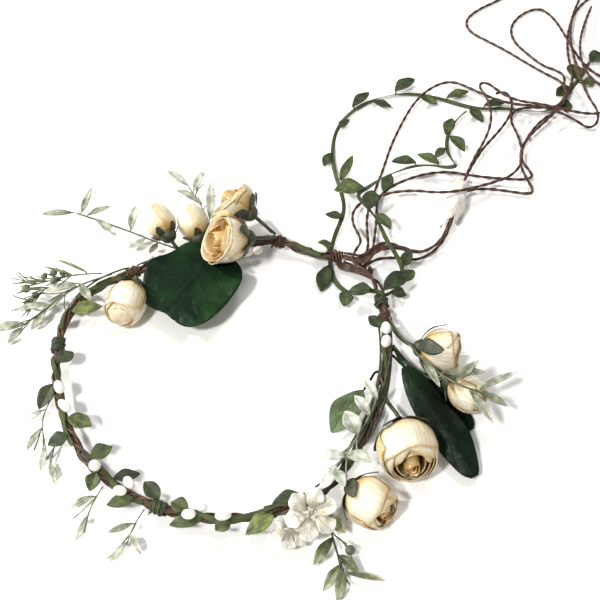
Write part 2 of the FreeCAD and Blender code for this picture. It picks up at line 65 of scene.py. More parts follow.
# Two low soft lights at the left give the double shadows: name, place, diameter, watts, colour
LIGHTS = [
    ("key", (-1.15, 0.5, 0.8), 0.12, 24, (1.0, 0.97, 0.93)),
    ("second", (-0.45, -0.6, 1.15), 0.16, 15, (1.0, 0.99, 0.97)),
    ("top", (0.25, 0.5, 1.5), 0.5, 6, (1.0, 1.0, 1.0)),
]
ROOM_COLOUR = (1.0, 0.985, 0.965, 1.0)
ROOM_STRENGTH = 0.42
FLOOR_REACH = 3.0            # half the side of the table, in metres

# The hoop, as in the CAD source: where its halves meet, then each half's first heading, its
# length, and the (radius, turn) of each arc of its middle line
HOOP_START = (-65.0, -50.0, 8.0)
HOOP = {
    "left": (125.5, 238, [(105, -36.5), (45, -62.5), (275, -17.5), (14, -41), (60, 32)]),
    "right": (-51.0, 240, [(88, 69), (50, 35.5), (130, 48)]),
}
VINE_STRANDS = 4
STRAND_RADIUS = 1.12
STRAND_OFFSET = 1.45
STRAND_PITCH = 38.0          # length of one turn of the strands round the wire
STRAND_ROLL = 3.2            # a strand turns on itself by a radian over this length
STALK_SINK = 0.45            # how far a stalk goes in towards the wire, as a share of the way

# Wound bindings: node, half of the hoop, distance along it, length, radius, thread radius,
# and material
BINDINGS = [
    ("binding_left", "left", 64, 9, 3.8, 0.5, "thread_green"),
    ("binding_top_left", "left", 125, 8, 3.9, 0.6, "vine"),
    ("binding_top_right", "left", 205, 9, 3.9, 0.62, "vine"),
    ("left_end_knot", "left", 239, 9, 4.2, 0.8, "vine"),
    ("binding_bottom", "right", 48, 8, 3.8, 0.5, "thread_green"),
    ("binding_right", "right", 229, 8, 4.0, 0.62, "vine"),
    ("right_end_knot", "right", 241, 9, 4.2, 0.8, "thread_green"),
]
# Their layers: pitch and inset in thread radii, share of the length covered, and way round
WINDINGS = [(1.75, 0.9, 1.0, 1), (4.6, 0.0, 0.8, -1)]
THREAD_STEP = 0.45
THREAD_ROLL = 1.1

# Strands that fan out of the left knot: (point, how far apart they lie there), and the route
# of the turns that pass below them
KNOT_FAN = [((58, 66, 9), 0.7), ((63, 65, 9.4), 0.8), ((67.5, 62.6, 9.6), 1.0),
            ((71.5, 63.6, 9.8), 1.0), ((75, 68.6, 9.6), 0.9), ((79.5, 72.4, 9), 0.8),
            ((85, 73, 8.4), 0.6)]
KNOT_LOOP = [(57, 65, 4.6), (57.4, 61.6, 5), (61, 59.8, 6), (66, 58, 6.6), (71, 56.2, 6),
             (74.4, 55.4, 4.8), (75.4, 57.6, 4), (73, 60.4, 4)]
KNOT_TURNS = 6
KNOT_SHIFT = np.array([0.55, -1.05, 0.5])    # from one turn of the fan to the next
KNOT_LOOP_LIFTS = (0.0, 1.1, 2.1)
KNOT_LOOP_SHIFT = np.array([0.3, 0.8, 1.0])  # of a lower turn, for each millimetre of its lift
KNOT_HALF = (0.75, 0.7)
KNOT_ROLL = 2.0

# Stretches of flat green ribbon along the top of the hoop
BAND_RIBBON_LIFT = 3.0
BAND_RIBBON_HALF = (1.25, 0.25)
BAND_RIBBONS = {
    "left": [(4, 56), (72, 118), (133, 143), (213, 231)],
    "right": [(4, 41), (55, 120), (140, 222)],
}

# The small leaves of the hoop start this far above its middle line, and move this share of
# the way from where they are in the CAD to there
BAND_LEAF_LIFT = 2.4
BAND_LEAF_SHIFT = 0.45

# Flower stems bound along the hoop: name, half, from, to, and the angle of each from the top
BOUND_STEM_REACH = 3.3       # from the middle line of the hoop to that of a stem
BOUND_STEM_HALF = (0.55, 0.5)
BOUND_STEMS = [
    ("stems_top", "left", 128, 203, (-75, -40, -5, 35)),
    ("stems_left", "left", 92, 123, (-60, 50)),
    ("stems_right", "right", 145, 226, (-70, -30, 15, 60)),
    ("stems_low", "right", 96, 146, (-60, 45)),
]

# Rosebuds: base, tip, diameter, how far open, turn round the axis, how far the rim dips on
# the upper side, and how far up the bud its sepals reach
ROSEBUDS = [
    ((-33.5, 75, 16), (-44.5, 93, 20), 16.8, 0.0, 20, 0.0, 0.22),
    ((-17, 75, 14), (-25, 93, 20), 16.8, 0.0, 140, 0.0, 0.2),
    ((10, 89, 18), (-9, 101, 24), 25.0, 0.85, 40, 0.6, 0.24),
    ((10, 65, 26), (-15, 60.5, 28.5), 25.0, 0.95, 215, 0.5, 0.22),
    ((-49, 46, 10), (-56, 22, 11.6), 21.5, 0.22, 80, 0.1, 0.26),
    ((97, 6, 11.4), (118, 1, 13.6), 23.5, 0.45, 30, 0.1, 0.5),
    ((110, -14, 12), (125, -27, 14), 18.0, 0.3, 250, 0.0, 0.3),
    ((85, -39, 13.4), (88, -66, 18), 29.0, 0.24, 310, 0.12, 0.3),
    ((61, -69, 11), (77, -85, 14), 24.0, 0.25, 170, 0.0, 0.42),
]
PETAL_LAYERS = [
    # petals, width, radius, top, rim when shut, rim when open, flare when open, golden share
    # (how much darker gold the layer is painted: partly its colour, partly painted shade deep in
    # the bud)
    (3, 86, 0.96, 0.9, 0.06, 0.86, 0.16, 0.0),
    (3, 74, 0.9, 0.97, 0.05, 0.74, 0.06, 0.2),
    (4, 62, 0.8, 0.99, 0.04, 0.58, 0.0, 0.75),
    (3, 70, 0.6, 0.96, 0.04, 0.4, 0.0, 1.0),
]
PETAL_THICKNESS = 0.3
LAYER_TURN = 47              # degrees from the first petal of a layer to that of the next
WAIST = 0.45                 # share of a bud's height at which it is widest
SHUT = 0.24                  # buds that are less open than this have a plain core
WIDE_OPEN = 0.5              # buds that are more open than this lack the innermost petals
HEART_TURNS = 2.6            # turns of the rolled sheet at the middle of the other buds
HEART_THICKNESS = 0.25
SEPALS = 5
SEPAL_TURN = 36              # degrees from the first petal to the first sepal
SEPAL_HALF_ANGLE = 30        # degrees of the bud's waist that half a sepal covers
SEPAL_THICKNESS = 0.35
SEPAL_FLOOR = 0.5            # least height of a sepal's middle surface above the table

# Big rose leaves: base, tip, width and stalk, then outline, blunt, cut, fold, bend, wave and
# tone, and whether the pale underside shows. Tone sets how pale each leaf is painted; it is
# lower on the leaves that lie in deeper shade, so it is partly painted shade.
BIG_LEAVES = [
    ((-5.5, 65.5, 13.8), (-31.5, 27, 11.8), 48.0,
     [(-3, 70.6, 13.8), (3, 73, 13.6), (9, 74.6, 12.6)],
     (1.0, 0.26, 0.07, 0.05, 0.03, 0.05, 0.3), False),
    ((88, -7, 15), (118, -61, 6), 18.0, [(86, -3, 14.6), (84.8, 2, 12.6), (84.4, 6, 10.4)],
     (1.12, 0.38, 0.0, -0.3, 0.04, 0.09, 0.2), False),
    ((97, -5, 4), (119, -35, 2), 16.0, [(92.5, -3.4, 4.2), (88, 0, 5), (84, 5, 6.2)],
     (1.0, 0.36, 0.0, 0.0, -0.02, 0.03, 0.1), False),
    ((68, -15, 6), (52, -37, 3.6), 14.0, [(70, -12.4, 6.4), (72, -9, 7), (74.2, -5, 7.8)],
     (1.1, 0.7, 0.0, 0.25, 0.08, 0.06, 0.3), True),
]
BIG_STALK_HALF = (0.7, 0.7)
BIG_LEAF = 0.5               # thickness of these leaves
SMALL_LEAF = 0.35            # thickness of the leaves on the hoop and on the ribbons
LEAF_STALK = 0.4             # radius of the small leaves' stalks
SPRIG_STALK = 0.3            # radius of the stalks on the sprigs

# Stems of the sprigs: radius and route
STEMS = {
    "sprig_tip_left": [
        (0.8, [(-24.4, 70.2, 8), (-34, 75, 7), (-45, 79, 8), (-56, 83, 10), (-70, 87, 13),
               (-85, 91, 16)])],
    "sprig_low_left": [
        (0.8, [(-61, 51, 13.4), (-71, 47, 13.6), (-82, 42, 12), (-93, 33, 8.5),
               (-105, 23, 6.5)])],
    "seed_sprig": [
        (0.6, [(-66, 50.5, 14.6), (-76, 50, 15), (-88, 48.5, 13.8), (-104, 46, 10)]),
        (0.5, [(-87, 47.5, 14), (-94, 43, 11.5), (-103, 38, 7)])],
    "sprig_top": [
        (0.7, [(-6, 75.6, 8), (-10, 84, 7), (-14, 93, 9), (-19, 102, 13), (-25, 109, 18)])],
    "small_sprigs_left": [
        (0.5, [(-83, -20, 8), (-86, -28, 8), (-86, -37, 6.5), (-83, -46, 4.5)]),
        (0.5, [(-76.4, -38.6, 7), (-79, -45, 6), (-80, -54, 4)])],
    "small_sprigs_right": [
        (0.5, [(-53, -66.4, 7), (-57, -72.6, 6.5), (-59, -81, 5)]),
        (0.5, [(-33, -77.5, 7), (-38, -85, 6), (-40, -93, 4)])],
    "sprig_right": [
        (0.8, [(82, 24, 13.5), (85, 14, 15.2), (90, 5, 18), (97, -9, 22), (105, -19, 25),
               (114, -25, 25), (121, -26, 23.5)])],
    "sprig_white": [
        (0.8, [(75.8, -16, 13.3), (73, -27, 13.4), (67, -39, 13.5), (60, -51, 14),
               (53, -61, 14)])],
    "sprig_bottom": [
        (0.8, [(46.8, -75.8, 8), (50, -83, 7.5), (52, -94, 6.5), (56, -106, 5)]),
        (0.5, [(52, -90, 7), (55, -92, 7.5), (58, -95, 7)])],
    "white_florets": [
        (0.7, [(44.5, -75.5, 8), (44, -79, 10.5), (42, -84, 17)]),
        (0.6, [(43.4, -81, 11.5), (38, -86, 9.5), (33, -89, 11)])],
}
STEM_SHARE = 0.62            # seen thickness of a stem over its CAD thickness
STEM_STEP = 0.8
NEEDLE_HALF = (0.36, 0.3)
NEEDLE_LENGTHS = (8, 16)
FLORET_HEART = 0.55          # seen size of a floret's heart over its CAD size
FLORET_PETAL = 0.4           # thickness of a floret's petals
STAMENS = 9
STAMEN_LENGTHS = (1.6, 2.6)
STAMEN_OUTLINE = [(0, 0.12), (0.8, 0.1), (0.92, 0.26), (1.0, 0.1)]

# How each sprig looks: node, material, slot, width share, thickness, how much paler the tips
# are, needles on each stem
SPRIG_LOOKS = [
    ("sprig_tip_left", "sprig_pale", "sprig_pale", 1.0, 0.4, 0.6, 0),
    ("sprig_low_left", "sprig_pale", "sprig_pale", 1.2, 0.4, 0.3, 9),
    ("seed_sprig", "sprig_green", "seed_green", 1.2, 0.4, 0.2, 16),
    ("sprig_top", "sprig_white", "sprig_pale", 1.1, 0.4, 0.3, 3),
    ("small_sprigs_left", "sprig_pale", "sprig_pale", 1.1, 0.35, 0.4, 2),
    ("small_sprigs_right", "sprig_pale", "sprig_pale", 1.1, 0.35, 0.4, 2),
    ("sprig_right", "sprig_pale", "sprig_pale", 1.0, 0.4, 0.6, 2),
    ("sprig_white", "sprig_white", "sprig_pale", 1.1, 0.45, 0.4, 4),
    ("sprig_bottom", "sprig_green", "sprig_green", 1.0, 0.4, 0.8, 2),
]

# A CAD solid is a leaf when it is thinner than this, and a ball when it is rounder than this
LEAF_THICKNESS = 0.6
BALL_RATIO = 1.25

# Routes of the free tie cords and leaf ribbons, as in the CAD source
CORD_DIAMETER = 1.8
CORD_PITCH = 6.4             # length of one turn of the two plies
CORD_STEP = 0.4
RIBBON_STEP = 0.7
RIBBON_WIDTH = 2.4
RIBBON_THICKNESS = 0.44
CORDS = {
    "tie_cord_a1": [
        (60, 67.4, 6.6), (64, 66.4, 7.6), (68, 65, 8.8), (72, 67.5, 9), (74, 74, 8.4), (74, 84, 6),
        (74, 98, 4), (78, 114, 3), (85, 135, 2), (91, 156, 2), (99, 175, 3.5), (108, 192, 5),
        (120, 206, 4), (132, 212, 3), (142, 202, 6), (153, 190, 9), (166, 183, 10), (179, 181, 11),
        (190, 176, 11.5), (201, 170, 10), (209, 165, 7), (216, 171, 6), (218, 182, 6),
        (213, 190, 9), (211, 203, 10), (210, 223, 9), (211, 246, 7.5), (216, 270, 5.5),
        (225, 291, 4), (233, 310, 3)],
    "tie_cord_a2": [
        (60, 64.8, 7.2), (64.5, 62.6, 5.8), (69, 61.5, 4.8), (73.5, 65, 4.8), (76.5, 73, 4.8),
        (78, 84, 5), (80, 98, 5), (80, 110, 5), (87, 119, 5), (98, 126, 5), (111, 131, 5),
        (124, 132, 5), (136, 129, 5), (149, 127, 5), (160, 126, 5), (167, 126, 5), (171, 128, 5),
        (170, 133, 5), (167, 138, 5), (166, 147, 5), (171, 158, 5), (178, 166, 5), (186, 174, 6),
        (194, 183, 6.5), (202, 196, 6.5), (209, 215, 4.5), (209, 237, 2), (213, 260, 1.2),
        (220, 280, 1.2), (231, 295, 1.2), (241, 304, 1.2)],
    "tie_cord_a3": [
        (60, 68, 10), (65, 66.4, 10.8), (70, 64.8, 11.2), (74.5, 68.5, 11.2), (79, 73.6, 11),
        (85, 74, 11), (92, 71, 11), (101, 68, 10), (109, 72, 9.5), (117, 82, 9.5), (122, 96, 9.5),
        (128, 112, 9.5), (132, 126, 9.5), (139, 141, 9.5), (147, 156, 9.5), (151, 168, 12),
        (151, 181, 12.5), (149, 190, 12), (146.5, 196, 12), (148, 200, 12), (152, 199, 12.5),
        (156, 193.5, 13), (161, 187, 13.5), (169, 182, 13.5), (180, 180, 13.5), (192, 176, 13.5),
        (206, 174, 11), (218, 177, 8), (227, 185, 6), (229, 196, 6), (223, 202, 8), (216, 210, 9),
        (214, 225, 8.5), (218, 248, 6), (225, 268, 4), (233, 286, 3)],
    "tie_cord_b1": [
        (78, 41.5, 6.2), (77.4, 47, 6.6), (76, 52.6, 6.9), (71.6, 56, 6.9), (67.6, 59, 6.9),
        (70, 64.5, 6.9), (75, 70, 7.2), (82, 74.4, 7.8), (90, 73, 8), (99, 70, 7), (108, 73, 7),
        (115, 81, 7), (120, 93, 7), (125, 108, 7), (131, 124, 7), (138, 138, 7), (145, 150, 7),
        (154, 161, 7), (162, 173, 7), (166, 183, 7.5), (166, 192, 7.5), (162, 198, 7.5),
        (157, 195, 7.5)],
    "tie_cord_b2": [
        (76.6, 41.5, 9.8), (75.6, 47, 11.5), (73.4, 52.4, 13), (68, 56, 13.4), (64, 60.6, 13.4),
        (66.4, 67, 13.4), (70, 73, 13), (68.4, 81, 11), (66, 89, 9), (66, 99, 7), (71, 106, 8),
        (80, 110, 8), (91, 113, 9), (102, 112, 11), (113, 109, 12.5), (123, 109, 13.4),
        (134, 113, 12), (147, 120, 9), (158, 126, 8), (165, 135, 8), (167, 147, 8),
        (166, 160, 7.5), (164, 174, 4.5), (167, 184, 4), (176, 187, 4), (186, 183, 7),
        (196, 184, 9), (201, 195, 9), (200, 208, 6), (192, 217, 4), (181, 229, 3), (170, 242, 2),
        (158, 253, 1.5), (148, 262, 1.2), (147, 274, 1.2), (157, 285, 1.2), (171, 294, 1.2),
        (183, 303, 1.2)],
    "tie_cord_b3": [
        (80.3, 41.5, 8.2), (80.4, 47, 6), (78.6, 53.4, 3.6), (73.6, 57, 2.7), (70.6, 60.6, 2.6),
        (73.4, 66.4, 2.6), (80.6, 70.6, 2.3), (90, 71, 2), (99, 69, 2), (108, 73, 2), (116, 82, 3),
        (121, 94, 4), (125.5, 107, 4.2), (130.4, 118, 4.2), (143, 121, 3), (155, 119, 3),
        (164, 117, 3), (170, 117, 3), (170, 122, 3), (168, 128, 3), (166, 138, 2.5),
        (167, 149, 2.5), (172, 160, 2.5), (177, 169, 2.5), (185, 178, 3), (193, 183, 4),
        (200, 192, 4), (201, 204, 4), (204, 216, 3), (200, 223, 2), (192, 228, 1.2),
        (184, 239, 1.2), (176, 252, 1.2), (176, 267, 1.2), (185, 280, 1.2), (198, 287, 1.2),
        (205, 277, 2), (209, 260, 3.5), (212, 239, 5.5), (217, 222, 6), (224, 213, 6),
        (232, 210, 4)],
}
LEAF_RIBBONS = {
    "leaf_ribbon_1": [
        (81, 38.4, 13.2), (76, 40, 13.4), (71, 42.2, 11), (66, 44, 6), (60, 48, 2.4),
        (55, 56, 1.5), (53, 66, 1.5), (54, 76, 2), (56, 85, 4), (60, 93, 8), (62, 102, 9),
        (60, 117, 6), (57, 135, 2), (56, 151, 1.5), (58, 167, 1.5), (64, 180, 1.5), (73, 190, 1.5),
        (85, 198, 1.5), (99, 202, 1.5), (113, 201, 1.5), (125, 197, 1.5), (137, 191, 1.5),
        (149, 188, 1.5), (161, 189, 1.5), (175, 187, 1.5), (188, 185, 1.5), (199, 193, 1.5),
        (205, 205, 1.5), (211.5, 212.5, 1.5), (216.5, 221, 1.5), (222, 231, 1.5)],
    "leaf_ribbon_2": [
        (81.5, 42.5, 6), (86.5, 46.5, 4.4), (91, 53, 4), (92, 60, 6.5), (88, 67, 11), (83, 73, 15),
        (81, 82, 14.5), (77, 93, 13.5), (70, 101, 15), (69, 107, 14), (75, 114, 11), (83, 124, 8),
        (92, 129, 8), (103, 134, 8), (113, 133, 9.5), (121, 128, 12.5), (127, 130, 12),
        (125, 138, 8), (123, 151, 5), (126, 166, 4), (132, 177, 4), (139, 184, 4)],
}
LEFT_EXIT = (61.5, 66.7, 8.0)
RIGHT_EXIT = (78.2, 42.7, 8.0)
TAIL_BEND = ((80, 46, 8), (96, 108, 8))   # two points along the tail's route

# Folded paper tag: ends of its axis and half sizes across and up
TAG_ENDS = ((121, 93.5, 6.9), (128.4, 116, 6.9))
TAG_HALF = (4.1, 4.8)
TAG_THICKNESS = 0.2

# Colour stops of the materials, from the darkest shade to the palest; the petals' run from
# ivory to a dark gold, which paints the shade of their folds, bases and edges besides their gold
COLOURS = {
    "petal": [(0.0, "#DDD4C1"), (0.25, "#CFBF9C"), (0.5, "#BE9D61"), (0.78, "#A87D38"),
              (1.0, "#7F5720")],
    "leaf_top": [(0.0, "#060F09"), (0.3, "#0A1C0E"), (0.6, "#193616"), (1.0, "#3F5A24")],
    "leaf_under": [(0.0, "#38452B"), (0.5, "#5A6B43"), (1.0, "#84916B")],
    "olive": [(0.0, "#161E0B"), (0.35, "#2C3814"), (0.7, "#4A5626"), (1.0, "#7B8348")],
    "sprig_pale": [(0.0, "#434A30"), (0.35, "#717660"), (0.7, "#A9AB9A"), (1.0, "#DEDCD6")],
    "sprig_green": [(0.0, "#2A301A"), (0.5, "#5C6340"), (1.0, "#A0A184")],
    "sprig_white": [(0.0, "#636C55"), (0.35, "#9A9F8E"), (0.7, "#C8C7C0"), (1.0, "#E8E7E3")],
    "floret": [(0.0, "#A7A285"), (0.4, "#CBC8BC"), (1.0, "#E2E0DA")],
    "cord": [(0.0, "#150804"), (0.4, "#331A0E"), (0.7, "#52301D"), (1.0, "#7D5638")],
    "vine": [(0.0, "#170D06"), (0.4, "#392212"), (0.7, "#5B3F26"), (1.0, "#86694A")],
    "thread_green": [(0.0, "#11150D"), (0.4, "#2A3420"), (0.7, "#4A5733"), (1.0, "#76815A")],
    "ribbon": [(0.0, "#1D260C"), (0.5, "#384419"), (1.0, "#636F35")],
    "calyx": [(0.0, "#12170C"), (0.5, "#2C321E"), (1.0, "#5B6042")],
    "wire": [(0.0, "#15190F"), (1.0, "#3C452C")],
    "pip": [(0.0, "#D2CABC"), (0.5, "#E8E3DA"), (1.0, "#F6F3EE")],
    "berry": [(0.0, "#2C3526"), (0.5, "#566148"), (1.0, "#8C967A")],
    "stamen": [(0.0, "#7D8459"), (1.0, "#C3C49C")],
    "paper": [(0.0, "#B5AFA4"), (1.0, "#E2DED6")],
    "floor": [(0.0, "#F2F1EF"), (1.0, "#FAFAF9")],
}
# Leaf cloths: short name, material, number and slope of the side veins, how much paler the
# veins are (darker below 0), depth of the relief, and roughness
LEAF_LOOKS = [
    # The rose leaf's top has darker veins: partly their colour, partly painted shade in the
    # creases.
    ("leaf_top", "rose_leaf_top", (5, 1.8), -0.14, 0.16, (0.36, 0.48)),
    ("leaf_under", "rose_leaf_under", (6, 2.2), 0.2, 0.3, (0.55, 0.7)),
    ("olive", "garland_leaf", (5, 1.6), 0.22, 0.2, (0.5, 0.68)),
    ("sprig_pale", "sprig_frosted", (3, 1.0), 0.12, 0.15, (0.55, 0.75)),
    ("sprig_green", "sprig_green", (3, 1.0), 0.16, 0.15, (0.5, 0.7)),
    ("sprig_white", "sprig_white", (3, 1.0), 0.1, 0.15, (0.5, 0.7)),
    ("floret", "floret_white", (4, 2.5), 0.1, 0.25, (0.5, 0.65)),
]
# Twisted paper: short name, material, and roughness
CORD_LOOKS = [
    ("cord", "paper_cord", (0.45, 0.65)),
    ("vine", "vine_wrap", (0.48, 0.7)),
    ("thread_green", "taped_thread", (0.45, 0.65)),
]
# Plain surfaces: short name, material, scale of the mottling, depth, and roughness
PLAIN_LOOKS = [
    ("calyx", "calyx_green", 350.0, 0.12, (0.42, 0.62)),
    ("wire", "taped_wire", 500.0, 0.1, (0.45, 0.6)),
    ("pip", "pip_pearl", 260.0, 0.06, (0.22, 0.36)),
    ("berry", "seed_green", 420.0, 0.2, (0.45, 0.65)),
    ("stamen", "stamen_green", 900.0, 0.2, (0.5, 0.7)),
    ("floor", "floor_white", 8.0, 0.02, (0.75, 0.85)),
]
# Settings that only these need
EXTRAS = {
    "leaf_top": {"scale": 34.0, "crumple": 22.0, "Specular_IOR_Level": 0.1},
    "pip": {"Coat_Weight": 0.3, "Coat_Roughness": 0.2},
}


def metres(points):
    """Points in millimetres as an array in metres."""
    return np.array(points, float) * MM


def unit(vectors):
    """The vectors at length one."""
    return vectors / np.maximum(np.linalg.norm(vectors, axis=-1, keepdims=True), 1e-12)


def smooth(values, low, high):
    """0 below low, 1 above high, and an even slope between them."""
    share = np.clip((values - low) / (high - low), 0, 1)
    return share * share * (3 - 2 * share)


def travel_of(line):
    """Distance travelled along a line, at each of its points."""
    return np.concatenate([[0], np.cumsum(np.linalg.norm(np.diff(line, axis=0), axis=1))])


def spaced(line, step):
    """The same line with its points a step apart."""
    travel = travel_of(line)
    at = np.linspace(0, travel[-1], max(3, round(travel[-1] / step) + 1))
    return np.stack([np.interp(at, travel, line[:, axis]) for axis in range(3)], axis=1)


def frames(line):
    """Directions along, sideways from and upward of a line, at each of its points."""
    along = unit(np.gradient(line, axis=0))
    side = unit(np.cross(along, UP))
    return along, side, np.cross(side, along)


def turned(angle, side, lift):
    """The direction at an angle from side towards lift."""
    return np.cos(angle)[..., None] * side + np.sin(angle)[..., None] * lift


def moved_off(line, reach, angle):
    """The line moved off by a reach, at an angle from its side towards its upper side."""
    _, side, lift = frames(line)
    return line + np.broadcast_to(reach, len(line))[:, None] * turned(angle, side, lift)


def stacked(*parts):
    """The parts, stretched to one shape, along the last axis of an array."""
    return np.stack(np.broadcast_arrays(*parts), axis=-1)


def add_object(name, data):
    """An object of the scene with this data."""
    thing = bpy.data.objects.new(name, data)
    bpy.context.scene.collection.objects.link(thing)
    return thing


class Form:
    """Collects grids of points into one mesh, with two marks that its materials read:
    grain is where a point lies on the flat piece it was made from, and tone picks a shade from
    the material's colour ramp; on petals and twisted cords it carries painted shade."""

    def __init__(self):
        self.points = []
        self.grain = []
        self.tone = []
        self.faces = []
        self.slots = []
        self.count = 0

    def grid(self, points, grain, tone, slots=0, flat=False):
        """Rows of points that each close into a ring, with a cap on the first and last row.
        The cap of a flat ring joins each point to the one on its other face."""
        rows, columns = points.shape[:2]
        first = self.count
        self.points.append(points.reshape(-1, 3))
        self.grain.append(np.broadcast_to(grain, points.shape).reshape(-1, 3))
        self.tone.append(np.broadcast_to(tone, points.shape[:2]).reshape(-1))
        self.count += rows * columns
        slots = np.broadcast_to(slots, columns)
        for row in range(rows - 1):
            here = first + row * columns
            for column in range(columns):
                after = (column + 1) % columns
                self.faces.append((here + column, here + after, here + columns + after,
                                   here + columns + column))
                self.slots.append(int(slots[column]))
        cap = [tuple(range(columns))]
        if flat:
            cap = [(k, k + 1, columns - 2 - k, columns - 1 - k) for k in range(columns // 2 - 1)]
        last = first + (rows - 1) * columns
        self.faces += [tuple(first + k for k in reversed(face)) for face in cap]
        self.faces += [tuple(last + k for k in face) for face in cap]
        self.slots += [int(slots[0])] * (2 * len(cap))

    def tube(self, line, half, sides, turn=0.0, groove=0.0, taper=True, tone=None):
        """A tube or ribbon along a line. half is its half width and half thickness, turn is
        how far it is rolled at each point, and groove deepens the hollows between two plies.
        Without a tone, the hollows are painted dark as shade and the plies are pale."""
        half = metres(half)
        _, side, lift = frames(line)
        travel = travel_of(line)
        angle = np.linspace(0, 2 * math.pi, sides, endpoint=False)
        turn = np.broadcast_to(turn, travel.shape)
        across = turned(turn, side, lift)[:, None]
        upward = turned(turn + math.pi / 2, side, lift)[:, None]
        section = 1 - groove * np.sin(angle) ** 2
        size = np.ones(len(line))
        if taper:
            edge = np.minimum(travel, travel[-1] - travel) / max(half)
            size = np.sqrt(np.clip(edge, 0.02, 1))
        wide = (section * np.cos(angle))[None, :, None] * size[:, None, None]
        high = (section * np.sin(angle))[None, :, None] * size[:, None, None]
        points = line[:, None] + half[0] * wide * across + half[1] * high * upward
        grain = stacked(np.cos(angle), np.sin(angle), (travel / (2 * max(half)))[:, None])
        if tone is None:
            tone = (section - section.min()) / max(np.ptp(section), 1e-6)
        self.grid(points, grain, tone)

    def plate(self, surface, thickness, tone, under_tone, seed, slots=(0, 0)):
        """A thin closed plate on both sides of a surface given as rows and columns of points."""
        rows, columns = surface.shape[:2]
        normal = unit(np.cross(np.gradient(surface, axis=0), np.gradient(surface, axis=1)))
        over = surface + normal * (thickness / 2 * MM)
        under = surface - normal * (thickness / 2 * MM)
        ring = np.concatenate([over, under[:, ::-1]], axis=1)
        across = np.linspace(-1, 1, columns)
        down = np.linspace(0, 1, rows)[:, None]
        grain = stacked(down, np.concatenate([across, across[::-1]]), seed)
        tones = np.concatenate([np.broadcast_to(tone, (rows, columns)),
                                np.broadcast_to(under_tone, (rows, columns))], axis=1)
        self.grid(ring, grain, tones, np.repeat(slots, columns), flat=True)

    def lathe(self, base, tip, outline, tone=0.0, sides=16):
        """A solid turned on the line from base to tip; outline is (share of length, radius)."""
        axis = unit(tip - base)
        side = unit(np.cross(axis, UP + axis[[1, 2, 0]] * 0.3))
        lift = np.cross(side, axis)
        angle = np.linspace(0, 2 * math.pi, sides, endpoint=False)
        outline = np.array(outline)
        middle = base + outline[:, :1] * (tip - base)
        points = middle[:, None] + outline[:, 1][:, None, None] * turned(angle, side, lift)
        self.grid(points, stacked(np.cos(angle), np.sin(angle), outline[:, :1]), tone)

    def build(self, name, *materials):
        """The piece that the grids make, with its marks and materials."""
        mesh = bpy.data.meshes.new(name)
        points = np.concatenate(self.points)
        mesh.from_pydata(points.tolist(), [], self.faces)
        for material in materials:
            mesh.materials.append(material)
        mesh.polygons.foreach_set("material_index", self.slots)
        grain = mesh.attributes.new("grain", "FLOAT_VECTOR", "POINT")
        grain.data.foreach_set("vector", np.concatenate(self.grain).astype(np.float32).ravel())
        tone = mesh.attributes.new("tone", "FLOAT", "POINT")
        tone.data.foreach_set("value", np.concatenate(self.tone).astype(np.float32))
        mesh.shade_smooth()
        return add_object(name, mesh)


# Nodes shared by the materials

def linear(code):
    """A colour written as #RRGGBB, as the linear numbers that a shader takes."""
    parts = [int(code[at:at + 2], 16) / 255 for at in (1, 3, 5)]
    return [c / 12.92 if c <= 0.04045 else ((c + 0.055) / 1.055) ** 2.4 for c in parts] + [1.0]


def add(tree, kind, inputs, **settings):
    """A node with its settings, and its inputs as constants or other nodes' outputs."""
    node = tree.nodes.new("ShaderNode" + kind)
    for key, value in settings.items():
        setattr(node, key, value)
    for key, value in inputs.items():
        if isinstance(value, bpy.types.NodeSocket):
            tree.links.new(value, node.inputs[key])
        else:
            node.inputs[key].default_value = value
    return node.outputs[0]


def maths(tree, operation, first, second=0.0):
    """The result of a Math node."""
    return add(tree, "Math", {0: first, 1: second}, operation=operation)


def mark(tree, name, output):
    """One of the marks that Form leaves on a mesh."""
    node = tree.nodes.new("ShaderNodeAttribute")
    node.attribute_name = name
    return node.outputs[output]


def grain_of(tree, scale=(1, 1, 1)):
    """The mark grain, stretched by a scale along each of its parts."""
    vector = mark(tree, "grain", "Vector")
    return add(tree, "VectorMath", {0: vector, 1: scale}, operation="MULTIPLY")


def grain_part(tree, axis):
    """One of the three numbers of grain."""
    node = tree.nodes.new("ShaderNodeSeparateXYZ")
    tree.links.new(grain_of(tree), node.inputs[0])
    return node.outputs[axis]


def tone_of(tree):
    """The mark tone."""
    return mark(tree, "tone", "Fac")


def place(tree):
    """Where a point lies in the space of its object."""
    return tree.nodes.new("ShaderNodeTexCoord").outputs["Object"]


def speckle(tree, vector, scale, detail=3.0):
    """Noise about 0.5, with a cell to each 1 / scale of the vector."""
    return add(tree, "TexNoise", {"Vector": vector, "Scale": scale, "Detail": detail})


def span(tree, value, low, high, at_low, at_high):
    """at_low below low, at_high above high, and an even slope between them."""
    inputs = {"Value": value, "From Min": low, "From Max": high, "To Min": at_low,
              "To Max": at_high}
    return add(tree, "MapRange", inputs, interpolation_type="SMOOTHSTEP")


def mixed(tree, *weighted):
    """The sum of (value, weight) pairs, with each value taken from its middle, 0.5."""
    total = None
    for value, weight in weighted:
        part = maths(tree, "MULTIPLY", maths(tree, "SUBTRACT", value, 0.5), weight)
        total = part if total is None else maths(tree, "ADD", total, part)
    return total


def ramp(tree, factor, stops):
    """The colour that a factor picks from stops of (position, #RRGGBB)."""
    node = tree.nodes.new("ShaderNodeValToRGB")
    tree.links.new(factor, node.inputs[0])
    while len(node.color_ramp.elements) < len(stops):
        node.color_ramp.elements.new(0.5)
    for element, (position, colour) in zip(node.color_ramp.elements, stops):
        element.position = position
        element.color = linear(colour)
    return node.outputs[0]


